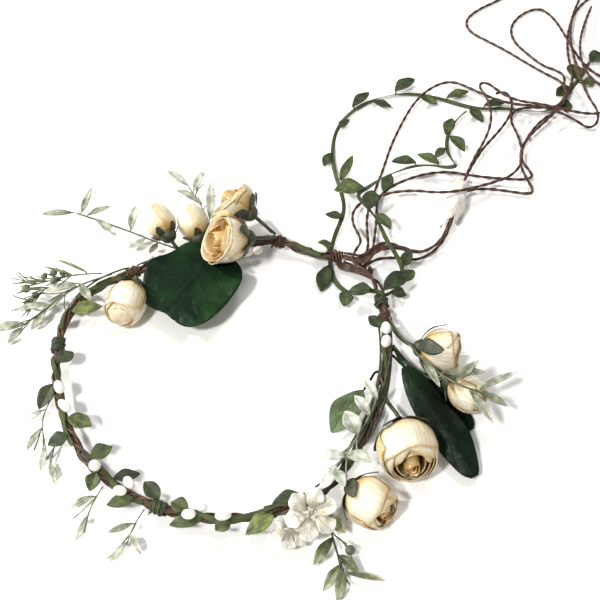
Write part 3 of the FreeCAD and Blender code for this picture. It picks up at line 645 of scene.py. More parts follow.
def principled(name, colour, height, depth, roughness, **settings):
    """A Principled material; colour, height and roughness are functions that add the nodes
    for them and return an output, and the settings are the shader's own constants."""
    material = bpy.data.materials.new(name)
    material.use_nodes = True
    tree = material.node_tree
    shader = tree.nodes["Principled BSDF"]
    for key, value in settings.items():
        shader.inputs[key.replace("_", " ")].default_value = value
    tree.links.new(colour(tree), shader.inputs["Base Color"])
    tree.links.new(roughness(tree), shader.inputs["Roughness"])
    bump = add(tree, "Bump", {"Height": height(tree), "Strength": 1.0, "Distance": depth * MM})
    tree.links.new(bump, shader.inputs["Normal"])
    return material


def uneven(low, high, scale):
    """Roughness that wanders between two values over patches of about 1 / scale metres."""
    def nodes(tree):
        return span(tree, speckle(tree, place(tree), scale), 0.3, 0.7, low, high)
    return nodes


def petal_material():
    """Ivory satin cloth, pleated from base to rim; the pleats bump it and paint light and shade
    along it, and the tone paints its shade in the folds as darker gold.
    """
    def pleats(tree):
        return speckle(tree, grain_of(tree, (1.6, 9.0, 5.0)), 1.6)

    def colour(tree):
        patches = speckle(tree, place(tree), 110.0)
        # The pleats paint light and shade along the satin, and the tone carries the petals'
        # painted shade.
        marks = mixed(tree, (pleats(tree), 0.35), (patches, 0.5))
        return ramp(tree, maths(tree, "ADD", tone_of(tree), marks), COLOURS["petal"])

    def height(tree):
        weave = speckle(tree, place(tree), 2600.0, 1.0)
        return mixed(tree, (pleats(tree), 1.0), (weave, 0.16))

    return principled("petal_satin", colour, height, 0.5, uneven(0.22, 0.34, 240.0),
                      Specular_IOR_Level=0.8, Subsurface_Weight=0.1, Subsurface_Scale=0.002)


def vein_lines(tree, count, slope):
    """1 on a leaf's midrib and on the side veins that leave it, and 0 between them."""
    off = maths(tree, "ABSOLUTE", grain_part(tree, "Y"))
    midrib = span(tree, off, 0.0, 0.1, 1.0, 0.0)
    bent = maths(tree, "SUBTRACT", maths(tree, "MULTIPLY", grain_part(tree, "X"), count),
                 maths(tree, "MULTIPLY", off, slope))
    gap = maths(tree, "PINGPONG", bent, 0.5)
    side = maths(tree, "MULTIPLY", span(tree, gap, 0.0, 0.1, 1.0, 0.0),
                 span(tree, off, 0.7, 1.0, 0.55, 0.0))
    return maths(tree, "MAXIMUM", midrib, side)


def leaf_material(name, stops, veins, vein_share, depth, rough, scale=300.0, crumple=0.0,
                  **settings):
    """Leaf cloth: patches and tone choose the shade, and veins mark and raise it."""
    def colour(tree):
        patches = speckle(tree, place(tree), scale)
        threads = speckle(tree, grain_of(tree, (2.0, 16.0, 9.0)), 2.0)
        lines = maths(tree, "MULTIPLY", vein_lines(tree, *veins), vein_share)
        factor = maths(tree, "ADD", tone_of(tree), mixed(tree, (patches, 1.3), (threads, 0.25)))
        return ramp(tree, maths(tree, "ADD", factor, lines), stops)

    def height(tree):
        cloth = speckle(tree, place(tree), 2400.0, 1.0)
        folds = speckle(tree, place(tree), 70.0, 2.0)
        return mixed(tree, (vein_lines(tree, *veins), 1.0), (cloth, 0.12), (folds, crumple))

    return principled(name, colour, height, depth, uneven(*rough, 260.0), **settings)


def cord_material(name, stops, rough):
    """Paper twisted into a cord: fibres run along each ply, and the grooves are painted dark as
    shade.
    """
    def fibres(tree):
        return speckle(tree, grain_of(tree, (2.4, 2.4, 0.5)), 1.4)

    def colour(tree):
        stains = speckle(tree, place(tree), 140.0)
        # The tone is painted shade: it is low in the grooves between the plies, so they come out
        # darker.
        factor = maths(tree, "ADD", maths(tree, "MULTIPLY", tone_of(tree), 0.55),
                       mixed(tree, (fibres(tree), 0.9), (stains, 0.5)))
        return ramp(tree, maths(tree, "ADD", factor, 0.2), stops)

    def height(tree):
        creases = speckle(tree, grain_of(tree, (1.0, 1.0, 3.0)), 2.0)
        return mixed(tree, (fibres(tree), 1.0), (creases, 0.5))

    return principled(name, colour, height, 0.25, uneven(*rough, 300.0))


def ribbon_material():
    """Narrow ribbon: fine threads across it, with slubs and uneven dye."""
    def threads(tree):
        wave = maths(tree, "SINE", maths(tree, "MULTIPLY", grain_part(tree, "Z"), 44.0))
        return maths(tree, "MULTIPLY_ADD", wave, 0.5)

    def colour(tree):
        patches = speckle(tree, place(tree), 120.0)
        slubs = speckle(tree, grain_of(tree, (4.0, 1.0, 0.7)), 2.0)
        factor = mixed(tree, (threads(tree), 0.12), (patches, 0.8), (slubs, 0.4))
        return ramp(tree, maths(tree, "ADD", factor, 0.5), COLOURS["ribbon"])

    return principled("leaf_ribbon", colour, threads, 0.12, uneven(0.5, 0.66, 200.0))


def plain_material(name, stops, scale, depth, rough, **settings):
    """A moulded or dipped surface: mottled colour and a fine uneven skin."""
    def colour(tree):
        large = speckle(tree, place(tree), scale)
        small = speckle(tree, place(tree), scale * 6)
        factor = mixed(tree, (large, 1.1), (small, 0.5))
        return ramp(tree, maths(tree, "ADD", factor, 0.5), stops)

    def height(tree):
        return speckle(tree, place(tree), scale * 5)

    return principled(name, colour, height, depth, uneven(*rough, scale), **settings)


def paper_material():
    """Thin white tissue, creased in flat facets; the crease pattern bumps it and also paints light
    and shade on its facets.
    """
    def folds(tree):
        return add(tree, "TexVoronoi", {"Vector": place(tree), "Scale": 260.0}, feature="F1")

    def colour(tree):
        fibres = speckle(tree, place(tree), 900.0)
        # The crease pattern picks the colour too: painted light and shade on the facets.
        factor = mixed(tree, (folds(tree), 0.7), (fibres, 0.4))
        return ramp(tree, maths(tree, "ADD", factor, 0.5), COLOURS["paper"])

    return principled("tissue", colour, folds, 0.8, uneven(0.6, 0.8, 300.0), Sheen_Weight=0.2)


def make_materials():
    """Every material, by its short name."""
    made = {"petal": petal_material(), "ribbon": ribbon_material(), "paper": paper_material()}
    kinds = [(leaf_material, LEAF_LOOKS), (cord_material, CORD_LOOKS),
             (plain_material, PLAIN_LOOKS)]
    for make, looks in kinds:
        for key, name, *numbers in looks:
            made[key] = make(name, COLOURS[key], *numbers, **EXTRAS.get(key, {}))
    return made


# Reading the CAD frame

def body_with(node):
    """The CAD body that a node belongs to."""
    bodies = frame["record"]["behaviour"]["bodies"]
    return next(body for body, members in bodies.items() if node in members)


def solids_of(node):
    """The corner points of each separate solid of a CAD node."""
    work = bmesh.new()
    work.from_mesh(frame["nodes"][node].data)
    bmesh.ops.remove_doubles(work, verts=work.verts, dist=1e-6)
    for corner in work.verts:
        corner.tag = False
    solids = []
    for start in work.verts:
        if start.tag:
            continue
        start.tag = True
        todo = [start]
        found = []
        while todo:
            corner = todo.pop()
            found.append(corner.co[:])
            for edge in corner.link_edges:
                other = edge.other_vert(corner)
                if not other.tag:
                    other.tag = True
                    todo.append(other)
        solids.append(np.array(found))
    work.free()
    return solids


def measured(solid):
    """Middle, axes from longest to shortest, and extent along each, of a solid's points."""
    _, axes = np.linalg.eigh(np.cov(solid.T))
    axes = axes.T[::-1]
    along = solid @ axes.T
    low, high = along.min(axis=0), along.max(axis=0)
    return (low + high) / 2 @ axes, axes, high - low


def sorted_solids(node):
    """A node's thin leaf plates as (base, tip, width), ends in either order, and its balls
    as (centre, diameter). Its stems are left out."""
    leaves, balls = [], []
    for solid in solids_of(node):
        middle, axes, size = measured(solid)
        if size[2] < LEAF_THICKNESS * MM:
            half = axes[0] * size[0] / 2
            leaves.append((middle - half, middle + half, size[1]))
        elif size[0] < BALL_RATIO * size[2]:
            balls.append((middle, size[0]))
    return leaves, balls


def rooted(leaves, anchor):
    """The leaves as (root, base, tip, width): the base is the end that is nearer to the
    anchor's points, and the root is the nearest of those points."""
    placed = []
    for ends in leaves:
        gaps = [np.linalg.norm(anchor - end, axis=1) for end in ends[:2]]
        near = 0 if gaps[0].min() <= gaps[1].min() else 1
        root = anchor[gaps[near].argmin()]
        placed.append((root, ends[near], ends[1 - near], ends[2]))
    return placed


def nurbs_line(points, step):
    """The smooth line that a route's points steer, sampled a step apart."""
    data = bpy.data.curves.new("route", "CURVE")
    data.dimensions = "3D"
    spline = data.splines.new("NURBS")
    spline.points.add(len(points) - 1)
    for corner, point in zip(spline.points, metres(points)):
        corner.co = (*point, 1)
    spline.order_u = 3
    spline.use_endpoint_u = True
    spline.resolution_u = 16
    curve = bpy.data.objects.new("route", data)
    mesh = bpy.data.meshes.new_from_object(curve)
    line = np.array([corner.co for corner in mesh.vertices])
    bpy.data.objects.remove(curve)
    bpy.data.curves.remove(data)
    bpy.data.meshes.remove(mesh)
    return spaced(line, step * MM)


def hoop_line(half, first, last, step=0.8):
    """Points of the hoop's middle line from one distance to another."""
    heading, _, arcs = HOOP[half]
    here = np.array(HOOP_START)
    points = []
    passed = 0.0
    for radius, turn in arcs:
        length = radius * math.radians(abs(turn))
        toward = math.radians(heading + math.copysign(90, turn))
        centre = here + radius * np.array([math.cos(toward), math.sin(toward), 0])
        for share in np.linspace(0, 1, math.ceil(length / step) + 1):
            angle = toward + math.pi + math.radians(turn) * share
            here = centre + radius * np.array([math.cos(angle), math.sin(angle), 0])
            points.append((passed + length * share, *here))
        passed += length
        heading += turn
    points = np.array(points)
    at = np.linspace(first, last, max(3, round(abs(last - first) / step) + 1))
    return np.stack([np.interp(at, points[:, 0], points[:, k]) for k in (1, 2, 3)], axis=1) * MM


def into_hoop(point):
    """Where a stalk that ends at a point beside the hoop goes in among its strands."""
    line = np.concatenate([hoop_line(half, 0, HOOP[half][1]) for half in HOOP]) / MM
    middle = line[np.linalg.norm(line - np.array(point), axis=1).argmin()]
    return tuple(np.array(point) + STALK_SINK * (middle - np.array(point)))


# Shapes

def blade(form, base, tip, width, thickness, outline, fold, bend, wave, tone, fade=0.0,
          slots=(0, 0), rows=14, columns=9, blunt=0.8, cut=0.0):
    """A leaf from base to tip: outline above 1 puts its widest part nearer the tip, a small
    blunt fills its ends out, cut squares its tip off with a notch at the midrib, fold lifts
    its edges, bend curls it, wave ruffles it, and fade makes its tip paler than its base."""
    seed = DICE.uniform(0, 50)
    along = unit(tip - base)
    across = unit(np.cross(UP, along))
    normal = np.cross(along, across)
    length = np.linalg.norm(tip - base)
    x = np.linspace(0.0, 1.0, rows)[:, None]
    y = np.linspace(-1.0, 1.0, columns)[None, :]
    swell = np.sin(math.pi * (x * (1 - cut)) ** outline)
    half = width / 2 * np.clip(swell, 0.02, 1) ** blunt
    rise = fold * half * np.abs(y) + bend * length * np.sin(math.pi * x)
    rise = rise + wave * width * np.sin(9 * x + 2 * y + seed) * y * y * np.sin(math.pi * x)
    far = x + cut * (np.abs(y) - 1.1 * y ** 4) * smooth(x, 0.5, 1)
    edge = half * y * (1 + wave * np.sin(9 * x + 2 * y + seed))
    surface = (base + far[..., None] * length * along + edge[..., None] * across
               + rise[..., None] * normal)
    shade = tone + fade * (x - 0.5) + 0 * y
    form.plate(surface, thickness, shade, shade, seed, slots)


def stalk(form, root, base, tip, radius):
    """A short stalk that curves from where a leaf is tied to the start of its blade."""
    reach = base + (tip - base) * 0.12
    share = np.linspace(0, 1, 8)[:, None]
    middle = (root + base) / 2 + UP * 0.1 * np.linalg.norm(base - root)
    line = (1 - share) ** 2 * root + 2 * share * (1 - share) * middle + share ** 2 * reach
    form.tube(line, (radius, radius), sides=8, taper=False, tone=0.2)


def bud_axes(base, tip):
    """Base, axis and two directions across it: the second is the bud's upper side."""
    axis = unit(tip - base)
    side = unit(np.cross(axis, UP))
    return base, axis, side, np.cross(side, axis)


def bud_point(axes, height, angle, radius):
    """Points at a height along a bud's axis, an angle round it and a radius from it."""
    base, axis, side, lift = axes
    return base + height[..., None] * axis + radius[..., None] * turned(angle, side, lift)


def bud_profile(share, rim):
    """Radius of a bud at a share of its height: 1 at its waist, and rim at its top."""
    low = np.sqrt(np.clip(1 - (1 - share / WAIST) ** 2, 0.02, 1))
    dome = np.sqrt(np.clip(1 - ((share - WAIST) / (1 - WAIST)) ** 2, 0, 1))
    return np.where(share < WAIST, low, rim + (1 - rim) * dome)


def petal(form, axes, size, turn, spread, top, rim, flare, dip, inner):
    """One petal wrapped round a bud; its leading edge lies over the next one.
    Size is the length and radius of the bud that this petal would make."""
    length, radius = size
    seed = DICE.uniform(0, 50)
    t = np.linspace(0.02, 1, 22)[:, None]
    c = np.linspace(-1, 1, 19)[None, :]
    angle = math.radians(turn) + math.radians(spread) * c * (0.8 + 0.2 * t)
    reach = top * (1 - 0.2 * np.abs(c) ** 2.4 + 0.02 * np.sin(5 * c + seed))
    reach = reach * (1 - dip * (0.5 + 0.5 * np.sin(angle)) * smooth(t, 0.3, 1))
    share = t * reach
    curl = smooth(t, 0.7, 1.0) * (0.7 + 0.3 * np.cos(1.6 * c + seed))
    out = radius * (bud_profile(share, rim) * (1 + 0.035 * c) + flare * curl)
    out = out * (1 + (0.012 + 0.1 * flare) * smooth(t, 0.5, 1) * np.sin(4.2 * c + seed))
    out = out * (1 + 0.009 * np.sin(7 * c + 4 * t + seed) + 0.007 * np.sin(13 * c - 3 * t))
    out = out * (1 - 0.16 * inner * smooth(t, 0.3, 1) * (0.5 + 0.5 * np.sin(3.1 * c + 5 * t)))
    height = length * (share - 0.3 * flare * curl ** 2)
    # Tone, painted shade: the outside darkens towards the base and the side edges, the inside
    # deeper down the bud, and inner petals all over; a thin band at the rim is darker gold.
    outside = 0.06 + 0.5 * (1 - smooth(t, 0.0, 0.55)) + 0.3 * smooth(t, 0.9, 1.0)
    outside = outside + 0.35 * np.abs(c) ** 3 + 0.3 * inner
    inside = 0.3 + 0.7 * (1 - t) + 0.3 * inner - 0.2 * smooth(t, 0.85, 1.0)
    form.plate(bud_point(axes, height, angle, out), PETAL_THICKNESS, outside + 0 * c,
               inside + 0 * c, seed)


def rolled_heart(form, axes, size, top):
    """The rolled sheet at the middle of an opening bud."""
    length, radius = size
    seed = DICE.uniform(0, 50)
    t = np.linspace(0.2, 1, 9)[:, None]
    c = np.linspace(0, 1, 60)[None, :]
    angle = 2 * math.pi * HEART_TURNS * c + seed
    out = radius * (1 - 0.88 * c) * (0.94 + 0.06 * np.cos(3 * angle)) * bud_profile(0.85 * t, 0.6)
    height = length * top * t * (1 - 0.04 * np.cos(2 * angle + seed) - 0.05 * c)
    # Painted shade: the heart darkens deeper down in the bud, and its other face is a little
    # darker.
    shade = 0.48 + 0.35 * (1 - t) + 0.15 * smooth(t, 0.92, 1) + 0 * c
    form.plate(bud_point(axes, height, angle, out), HEART_THICKNESS, shade, shade + 0.1, seed)


def rosebud(number, materials):
    """Layers of satin petals: a shut bud is a dome with crescent rims, and an open one shows
    its inner petals round a rolled heart, painted darker gold for their colour and for the shade
    deep in the bud."""
    base, tip, diameter, opened, turn, dip, _ = ROSEBUDS[number - 1]
    base, tip = metres(base), metres(tip)
    axes = bud_axes(base, tip)
    length = np.linalg.norm(tip - base)
    radius = diameter / 2 * MM
    form = Form()
    layers = PETAL_LAYERS[:-1] if opened > WIDE_OPEN else PETAL_LAYERS
    for index, (petals, spread, share, top, shut, wide, flare, inner) in enumerate(layers):
        rim = shut + (wide - shut) * opened
        size = (length, share * radius)
        for around in range(petals):
            heading = turn + index * LAYER_TURN + 360 * around / petals
            ragged = opened ** 2 * math.sin(2.4 * around + index)
            petal(form, axes, size, heading, spread, top - 0.1 * index * opened + 0.14 * ragged,
                  rim, flare * opened * (1 + 0.6 * ragged), dip * (1 - 0.3 * inner),
                  inner * opened)
    if opened < SHUT:
        shares = np.linspace(0.02, 0.99, 24)
        outline = [(s, 0.86 * radius * float(bud_profile(s, 0.03))) for s in shares]
        form.lathe(base, tip, outline, 0.2, sides=32)
    else:
        rolled_heart(form, axes, (length, radius * (0.28 + 0.26 * opened)),
                     1.05 - 0.5 * opened + 0.18 * opened ** 3)
    piece = form.build("rose_%d" % number, materials["petal"])
    settle(piece, "petal_ivory", "rosebud_%d" % number)


def above_floor(points):
    """The points, with those under the table raised to lie on it."""
    points[..., 2] = np.maximum(points[..., 2], SEPAL_FLOOR * MM)
    return points


def sepals(number, materials):
    """Five pointed sepals that hug a bud's base, with their tips turned out."""
    base, tip, diameter, _, turn, _, reach = ROSEBUDS[number - 1]
    base, tip = metres(base), metres(tip)
    axes = bud_axes(base, tip)
    length = np.linalg.norm(tip - base)
    form = Form()
    for index in range(SEPALS):
        seed = DICE.uniform(0, 50)
        t = np.linspace(0.0, 1, 14)[:, None]
        c = np.linspace(-1, 1, 7)[None, :]
        share = reach * DICE.uniform(0.8, 1.25) * t
        half = math.radians(SEPAL_HALF_ANGLE) * (1 - t) ** 0.75 * (0.75 + 0.5 * t) + 0.01
        heading = math.radians(turn + 360 * index / SEPALS + SEPAL_TURN)
        angle = heading + half * c + 0.12 * np.sin(3 * t + seed)
        skin = diameter / 2 * MM * bud_profile(np.maximum(share, 0.01), 0.9)
        out = skin + (0.7 + 1.1 * smooth(t, 0.75, 1) * DICE.random() + 0.3 * np.abs(c)) * MM
        height = length * (share - 0.03) + 0 * c
        shade = 0.25 + 0.45 * t + 0 * c
        points = above_floor(bud_point(axes, height, angle, out))
        form.plate(points, SEPAL_THICKNESS, shade, shade, seed)
    piece = form.build("sepals_%d" % number, materials["calyx"])
    settle(piece, "calyx_green", body=body_with("rose_calyx_%d" % number))


# Pieces

def settle(piece, slot, *nodes, body=None):
    """The piece takes the place of these CAD nodes, and rides on their body."""
    if nodes:
        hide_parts(*nodes)
    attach(piece, body or body_with(nodes[0]))


def hoop_vine(materials):
    """Strands of paper vine twisted round the wire, in one piece."""
    left = hoop_line("left", HOOP["left"][1], 0)
    right = hoop_line("right", 0, HOOP["right"][1])
    line = np.concatenate([left, right[1:]])
    travel = travel_of(line)
    form = Form()
    for index in range(VINE_STRANDS):
        phase = 2 * math.pi * (index / VINE_STRANDS + travel / (STRAND_PITCH * MM))
        phase = phase + 0.5 * np.sin(travel / (17 * MM) + index)
        reach = STRAND_OFFSET * MM * (1 + 0.14 * np.sin(travel / (6 * MM) + 2 * index))
        path = moved_off(line, reach, phase)
        thick = STRAND_RADIUS * (1 + 0.08 * math.sin(5 * index))
        form.tube(path, (thick, thick * 0.9), sides=12, turn=travel / (STRAND_ROLL * MM),
                  groove=0.24)
    piece = form.build("hoop_vine", materials["vine"])
    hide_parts("left_vine_wrap", "right_vine_wrap")
    start = metres(HOOP_START)
    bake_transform(piece)


def knot_strands(form):
    """Loose turns of the cords' paper that run out of the left knot in a flat fan, and a few
    that pass below them."""
    lines = []
    for index in range(KNOT_TURNS):
        shift = KNOT_SHIFT * (index - (KNOT_TURNS - 1) / 2)
        route = [np.array(point) + shift * spread + UP * 0.5 * math.sin(3 * index)
                 for point, spread in KNOT_FAN]
        lines.append(nurbs_line(route, CORD_STEP))
    loop = nurbs_line(KNOT_LOOP, CORD_STEP)
    lines += [loop + KNOT_LOOP_SHIFT * lift * MM for lift in KNOT_LOOP_LIFTS]
    for line in lines:
        turn = travel_of(line) / (KNOT_ROLL * MM)
        form.tube(line, KNOT_HALF, sides=12, turn=turn, groove=0.25)


def binding(row, materials):
    """Thread wound round the hoop in close turns, with a few loose ones laid over them."""
    node, half, distance, length, radius, thread, look = row
    room = length / 2 - thread
    middle = hoop_line(half, distance - room, min(distance + room, HOOP[half][1] + room), 0.05)
    form = Form()
    for layer, (pitch, inset, share, way) in enumerate(WINDINGS):
        line = middle[:int(len(middle) * share)]
        phase = way * 2 * math.pi * travel_of(line) / (pitch * thread * MM)
        reach = (radius - thread - inset * thread) * MM * (1 + 0.04 * np.sin(phase * 0.37 + layer))
        path = spaced(moved_off(line, reach, phase), THREAD_STEP * MM)
        form.tube(path, (thread, thread * 0.9), sides=8,
                  turn=travel_of(path) / (THREAD_ROLL * MM), groove=0.3)
    if node == "left_end_knot":
        knot_strands(form)
    settle(form.build(node + "_winding", materials[look]), "vine_brown", node)


def bound_stems(materials):
    """Thin taped stems of the flowers, laid side by side along the hoop under its bindings."""
    for name, half, first, last, angles in BOUND_STEMS:
        form = Form()
        for index, angle in enumerate(angles):
            line = hoop_line(half, first + 3 * index, last - 2 * index)
            travel = travel_of(line)
            lean = np.radians(angle) + 0.3 * np.sin(travel / (16 * MM) + 2 * index)
            wander = 0.5 * math.sin(4 * index) + 0.4 * np.sin(travel / (11 * MM))
            line = moved_off(line, (BOUND_STEM_REACH + wander) * MM, math.pi / 2 - lean)
            form.tube(line, BOUND_STEM_HALF, sides=8, tone=0.3)
        piece = form.build(name, materials["calyx"])
        settle(piece, "calyx_green", body=half + "_band")


def band_ribbon(half, materials):
    """Stretches of flat ribbon that lie along the top of one half of the hoop."""
    form = Form()
    for first, last in BAND_RIBBONS[half]:
        line = hoop_line(half, first, last)
        lean = 0.75 * np.sin(travel_of(line) / (8 * MM) + first)
        line = moved_off(line, BAND_RIBBON_LIFT * MM, math.pi / 2 - lean)
        form.tube(line, BAND_RIBBON_HALF, sides=12, turn=-lean)
    piece = form.build(half + "_ribbon", materials["ribbon"])
    settle(piece, "ribbon_green", half + "_band_ribbon")


def band_leaves(half, materials):
    """The small leaves of one half of the hoop, each on a stalk from its upper side."""
    anchor = hoop_line(half, 0, HOOP[half][1])
    form = Form()
    node = half + "_band_leaves"
    for root, base, tip, width in rooted(sorted_solids(node)[0], anchor):
        root = root + UP * BAND_LEAF_LIFT * MM
        shift = BAND_LEAF_SHIFT * (root - base)
        stalk(form, root, base + shift, tip + shift, LEAF_STALK)
        blade(form, base + shift, tip + shift, width * DICE.uniform(1.05, 1.4), SMALL_LEAF, 0.9,
              DICE.uniform(0.1, 0.4), DICE.uniform(-0.02, 0.08), 0.05, DICE.uniform(0.1, 0.8))
    settle(form.build(half + "_garland_leaves", materials["olive"]), "ribbon_green", node)


def big_leaf(number, materials):
    """A broad leaf, cupped along its midrib, with a stalk; one shows its pale underside."""
    base, tip, width, stem, shape, turned_over = BIG_LEAVES[number - 1]
    outline, blunt, cut, fold, bend, wave, tone = shape
    form = Form()
    line = nurbs_line([base] + stem + [into_hoop(stem[-1])], STEM_STEP)
    form.tube(line, BIG_STALK_HALF, sides=10, tone=0.3)
    slots = (1, 0) if turned_over else (0, 1)
    blade(form, metres(base), metres(tip), width * MM, BIG_LEAF, outline, fold, bend, wave, tone,
          0.15, slots, rows=34, columns=29, blunt=blunt, cut=cut)
    piece = form.build("rose_leaf_%d" % number, materials["leaf_top"], materials["leaf_under"])
    settle(piece, "rose_leaf_green", "big_leaf_%d" % number)


def needle(form, stem, tone):
    """A thin bent needle that springs from the outer part of a stem."""
    start = stem[int(len(stem) * DICE.uniform(0.3, 0.95))]
    spray = np.array([DICE.gauss(0, 0.45), DICE.gauss(0, 0.45), DICE.gauss(0.05, 0.12)])
    heading = unit(unit(stem[-1] - stem[0]) + spray)
    length = DICE.uniform(*NEEDLE_LENGTHS) * MM
    share = np.linspace(0, 1, 14)[:, None]
    droop = DICE.uniform(-0.35, 0.35) * length * share ** 2
    line = start + share * length * heading + droop * np.cross(heading, UP)
    form.tube(line, NEEDLE_HALF, sides=6, tone=tone + DICE.uniform(0, 0.4))


def stems(form, node, tone, needles=0):
    """The stems of a sprig with their needles; returns the points of all the stems."""
    anchor = []
    for radius, route in STEMS[node]:
        line = nurbs_line(route, STEM_STEP)
        thick = STEM_SHARE * radius
        form.tube(line, (thick, thick), sides=8, tone=tone)
        anchor.append(line)
        for _ in range(needles):
            needle(form, line, tone)
    return np.concatenate(anchor)


def ball(form, centre, diameter):
    """A ball with a small flat at its top and bottom."""
    reach = np.array([0, 0, diameter / 2])
    share = (1 - np.cos(np.linspace(0.05, math.pi - 0.05, 11))) / 2
    outline = [(s, diameter / 2 * math.sqrt(max(1 - (2 * s - 1) ** 2, 0.01))) for s in share]
    form.lathe(centre - reach, centre + reach, outline)


def sprig(node, look, slot, width, thickness, fade, needles, materials):
    """A stem with its leaves and needles, and any seeds on it."""
    form = Form()
    anchor = stems(form, node, 0.05, needles)
    leaves, balls = sorted_solids(node)
    for root, base, tip, across in rooted(leaves, anchor):
        stalk(form, root, base, tip, SPRIG_STALK)
        blade(form, base, tip, across * width, thickness, DICE.uniform(0.85, 1.1),
              DICE.uniform(0.15, 0.5), DICE.uniform(-0.03, 0.09), 0.04,
              DICE.uniform(0.3, 0.65), fade)
    piece = form.build(node + "_leaves", materials[look])
    settle(piece, slot, node)
    if balls:
        seeds = Form()
        for centre, diameter in balls:
            ball(seeds, centre, diameter)
        settle(seeds.build(node + "_seeds", materials["berry"]), "seed_green",
               body=body_with(node))


def florets(materials):
    """White blossoms of soft rounded petals, cupped round a small heart."""
    node = "white_florets"
    leaves, balls = sorted_solids(node)
    form = Form()
    anchor = np.array([centre for centre, _ in balls])
    for _, base, tip, width in rooted(leaves, anchor):
        blade(form, base, tip, width, FLORET_PETAL, 1.5, DICE.uniform(-0.5, 0.3),
              DICE.uniform(0.1, 0.24), 0.12, 0.35, 0.6, rows=20, columns=17, blunt=0.5)
    settle(form.build("blossom_petals", materials["floret"]), "floret_white", node)
    middle = Form()
    stems(middle, node, 0.3)
    for centre, diameter in balls:
        ball(middle, centre, diameter * FLORET_HEART)
        for _ in range(STAMENS):
            spray = [DICE.uniform(-1, 1), DICE.uniform(-1.2, 0.4), DICE.uniform(0.3, 1.2)]
            end = centre + unit(np.array(spray)) * DICE.uniform(*STAMEN_LENGTHS) * MM
            middle.lathe(centre, end, [(s, r * MM) for s, r in STAMEN_OUTLINE], sides=6)
    settle(middle.build("blossom_hearts", materials["stamen"]), "floret_white",
           body=body_with(node))


def tail_piece(piece, nodes, side):
    """A piece of the tail: the left cords stay with the left band, and the right ones stay
    fixed where they lie."""
    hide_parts(*nodes)
    if side == "left":
        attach(piece, "left_band")
    else:
        [metres(point) for point in TAIL_BEND]
        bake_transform(piece)


def tie_cord(name, materials):
    """A two-ply paper cord that lies along its route."""
    line = nurbs_line(CORDS[name], CORD_STEP)
    travel = travel_of(line)
    form = Form()
    form.tube(line, (CORD_DIAMETER / 2, CORD_DIAMETER / 2), sides=12,
              turn=travel * math.pi / (CORD_PITCH * MM), groove=0.3)
    piece = form.build(name + "_rope", materials["cord"])
    side = "left" if name.startswith("tie_cord_a") else "right"
    tail_piece(piece, [name], side)
    leave = LEFT_EXIT if side == "left" else RIGHT_EXIT
    metres(leave).tolist()


def leaf_ribbon(name, leaf_node, materials):
    """A flat ribbon with leaves sewn along it."""
    line = nurbs_line(LEAF_RIBBONS[name], RIBBON_STEP)
    travel = travel_of(line)
    form = Form()
    roll = 0.5 * np.sin(travel / (14 * MM)) + 0.25 * np.sin(travel / (5 * MM))
    form.tube(line, (RIBBON_WIDTH / 2, RIBBON_THICKNESS / 2), sides=12, turn=roll)
    ribbon = form.build(name + "_strip", materials["ribbon"])
    leaves = Form()
    for root, base, tip, width in rooted(sorted_solids(leaf_node)[0], line):
        stalk(leaves, root, base, tip, LEAF_STALK)
        blade(leaves, base, tip, width * 1.1, SMALL_LEAF, DICE.uniform(0.85, 1.05),
              DICE.uniform(0.1, 0.35), DICE.uniform(0.0, 0.08), 0.05, DICE.uniform(0.1, 0.6))
    sewn = leaves.build(leaf_node + "_cloth", materials["olive"])
    tail_piece(ribbon, [name], "right")
    tail_piece(sewn, [leaf_node], "right")
    metres(RIGHT_EXIT).tolist()


def facets(rows, columns, step, spread):
    """A grid of random offsets joined by flat facets, step points to each, closed in a ring."""
    coarse = np.array([[DICE.uniform(-spread, spread) for _ in range(columns)]
                       for _ in range(rows)])
    coarse = np.concatenate([coarse, coarse[:, :1]], axis=1)
    down = np.linspace(0, rows - 1, (rows - 1) * step + 1)
    across = np.linspace(0, columns, columns * step + 1)
    wide = np.stack([np.interp(across, np.arange(columns + 1), row) for row in coarse])
    return np.stack([np.interp(down, np.arange(rows), column) for column in wide.T], axis=1)


def paper_tag(materials):
    """A slip of white tissue wrapped over three of the cords: pinched at both ends, open
    below, and drawn out at one corner."""
    base, tip = metres(TAG_ENDS)
    axis = unit(tip - base)
    side = unit(np.cross(axis, UP))
    crease = 1 + facets(6, 8, 8, 0.2)
    t = np.linspace(0, 1, crease.shape[0])[:, None]
    angle = np.radians(np.linspace(-40, 220, crease.shape[1]))[None, :]
    corner = smooth(-np.cos(angle), -0.2, 1)
    reach = 1.25 * t - 0.02 + 0.3 * corner * (t - 0.8)
    pinch = 0.55 + 0.55 * np.sin(math.pi * (0.08 + 0.84 * t)) ** 0.8
    wide = MM * (TAG_HALF[0] * np.cos(angle) * pinch - 3.5 * corner * (0.7 - 0.4 * t)) * crease
    high = MM * 0.9 * TAG_HALF[1] * np.sin(angle) * pinch * crease
    surface = (base + reach[..., None] * (tip - base) + wide[..., None] * side
               + high[..., None] * UP)
    form = Form()
    form.plate(surface, TAG_THICKNESS, 0.0, 0.0, 0.0)
    piece = form.build("tissue_slip", materials["paper"])
    tail_piece(piece, ["paper_tag"], "right")
    return piece


def finish_cad_nodes(materials):
    """The CAD nodes that stay in view get their finishes."""
    looks = {"left_core_wire": "wire", "right_core_wire": "wire", "left_pips": "pip",
             "right_pips": "pip"}
    looks.update({"rose_calyx_%d" % number: "calyx" for number in range(1, len(ROSEBUDS) + 1)})
    for node, look in looks.items():
        mesh = frame["nodes"][node].data
        mesh.materials.clear()
        mesh.materials.append(materials[look])
        mesh.shade_smooth()


# Stage

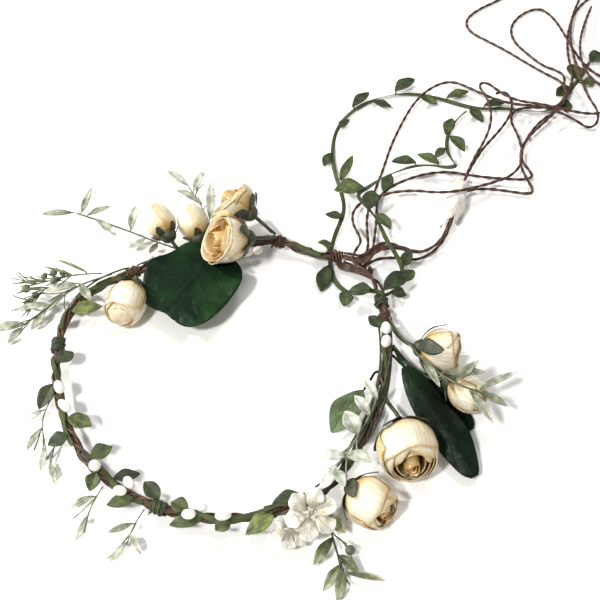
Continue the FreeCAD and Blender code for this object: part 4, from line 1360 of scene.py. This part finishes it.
def add_floor(materials):
    """The white table that the crown lies on."""
    mesh = bpy.data.meshes.new("floor")
    signs = [(-1, -1), (1, -1), (1, 1), (-1, 1)]
    mesh.from_pydata([(x * FLOOR_REACH, y * FLOOR_REACH, 0) for x, y in signs], [], [(0, 1, 2, 3)])
    mesh.materials.append(materials["floor"])
    add_object("floor", mesh)


def aim(thing):
    """Turns a light or a camera to look at the crown."""
    way = Vector(CAMERA_TARGET) - thing.location
    thing.rotation_mode = "QUATERNION"
    thing.rotation_quaternion = way.to_track_quat("-Z", "Y")


def add_lights():
    """The lights, and a pale room that fills their shadows."""
    for name, location, diameter, watts, colour in LIGHTS:
        data = bpy.data.lights.new(name, "AREA")
        data.shape = "DISK"
        data.size = diameter
        data.energy = watts
        data.color = colour
        light = add_object(name, data)
        light.location = location
        aim(light)
    world = bpy.data.worlds.new("studio")
    world.use_nodes = True
    background = world.node_tree.nodes["Background"]
    background.inputs["Color"].default_value = ROOM_COLOUR
    background.inputs["Strength"].default_value = ROOM_STRENGTH
    bpy.context.scene.world = world
    bpy.context.scene.view_settings.view_transform = "Standard"


def add_camera():
    """The camera, at its distance and elevation from the middle of the view."""
    data = bpy.data.cameras.new("camera")
    data.lens = CAMERA_LENS
    data.sensor_width = SENSOR_WIDTH
    camera = add_object("camera", data)
    lean = math.radians(CAMERA_ELEVATION)
    back = Vector((0, -math.cos(lean), math.sin(lean)))
    camera.location = Vector(CAMERA_TARGET) + back * CAMERA_DISTANCE
    aim(camera)
    bpy.context.scene.camera = camera


def main():
    """Builds every piece, the table, the lights and the camera."""
    add_camera()
    materials = make_materials()
    add_floor(materials)
    add_lights()
    tag = paper_tag(materials)
    for name in CORDS:
        tie_cord(name, materials)
    leaf_ribbon("leaf_ribbon_1", "ribbon_1_leaves", materials)
    leaf_ribbon("leaf_ribbon_2", "ribbon_2_leaves", materials)
    hoop_vine(materials)
    for row in BINDINGS:
        binding(row, materials)
    bound_stems(materials)
    for half in HOOP:
        band_ribbon(half, materials)
        band_leaves(half, materials)
    for number in range(1, len(ROSEBUDS) + 1):
        rosebud(number, materials)
        sepals(number, materials)
    for number in range(1, len(BIG_LEAVES) + 1):
        big_leaf(number, materials)
    for row in SPRIG_LOOKS:
        sprig(*row, materials)
    florets(materials)
    finish_cad_nodes(materials)


main()
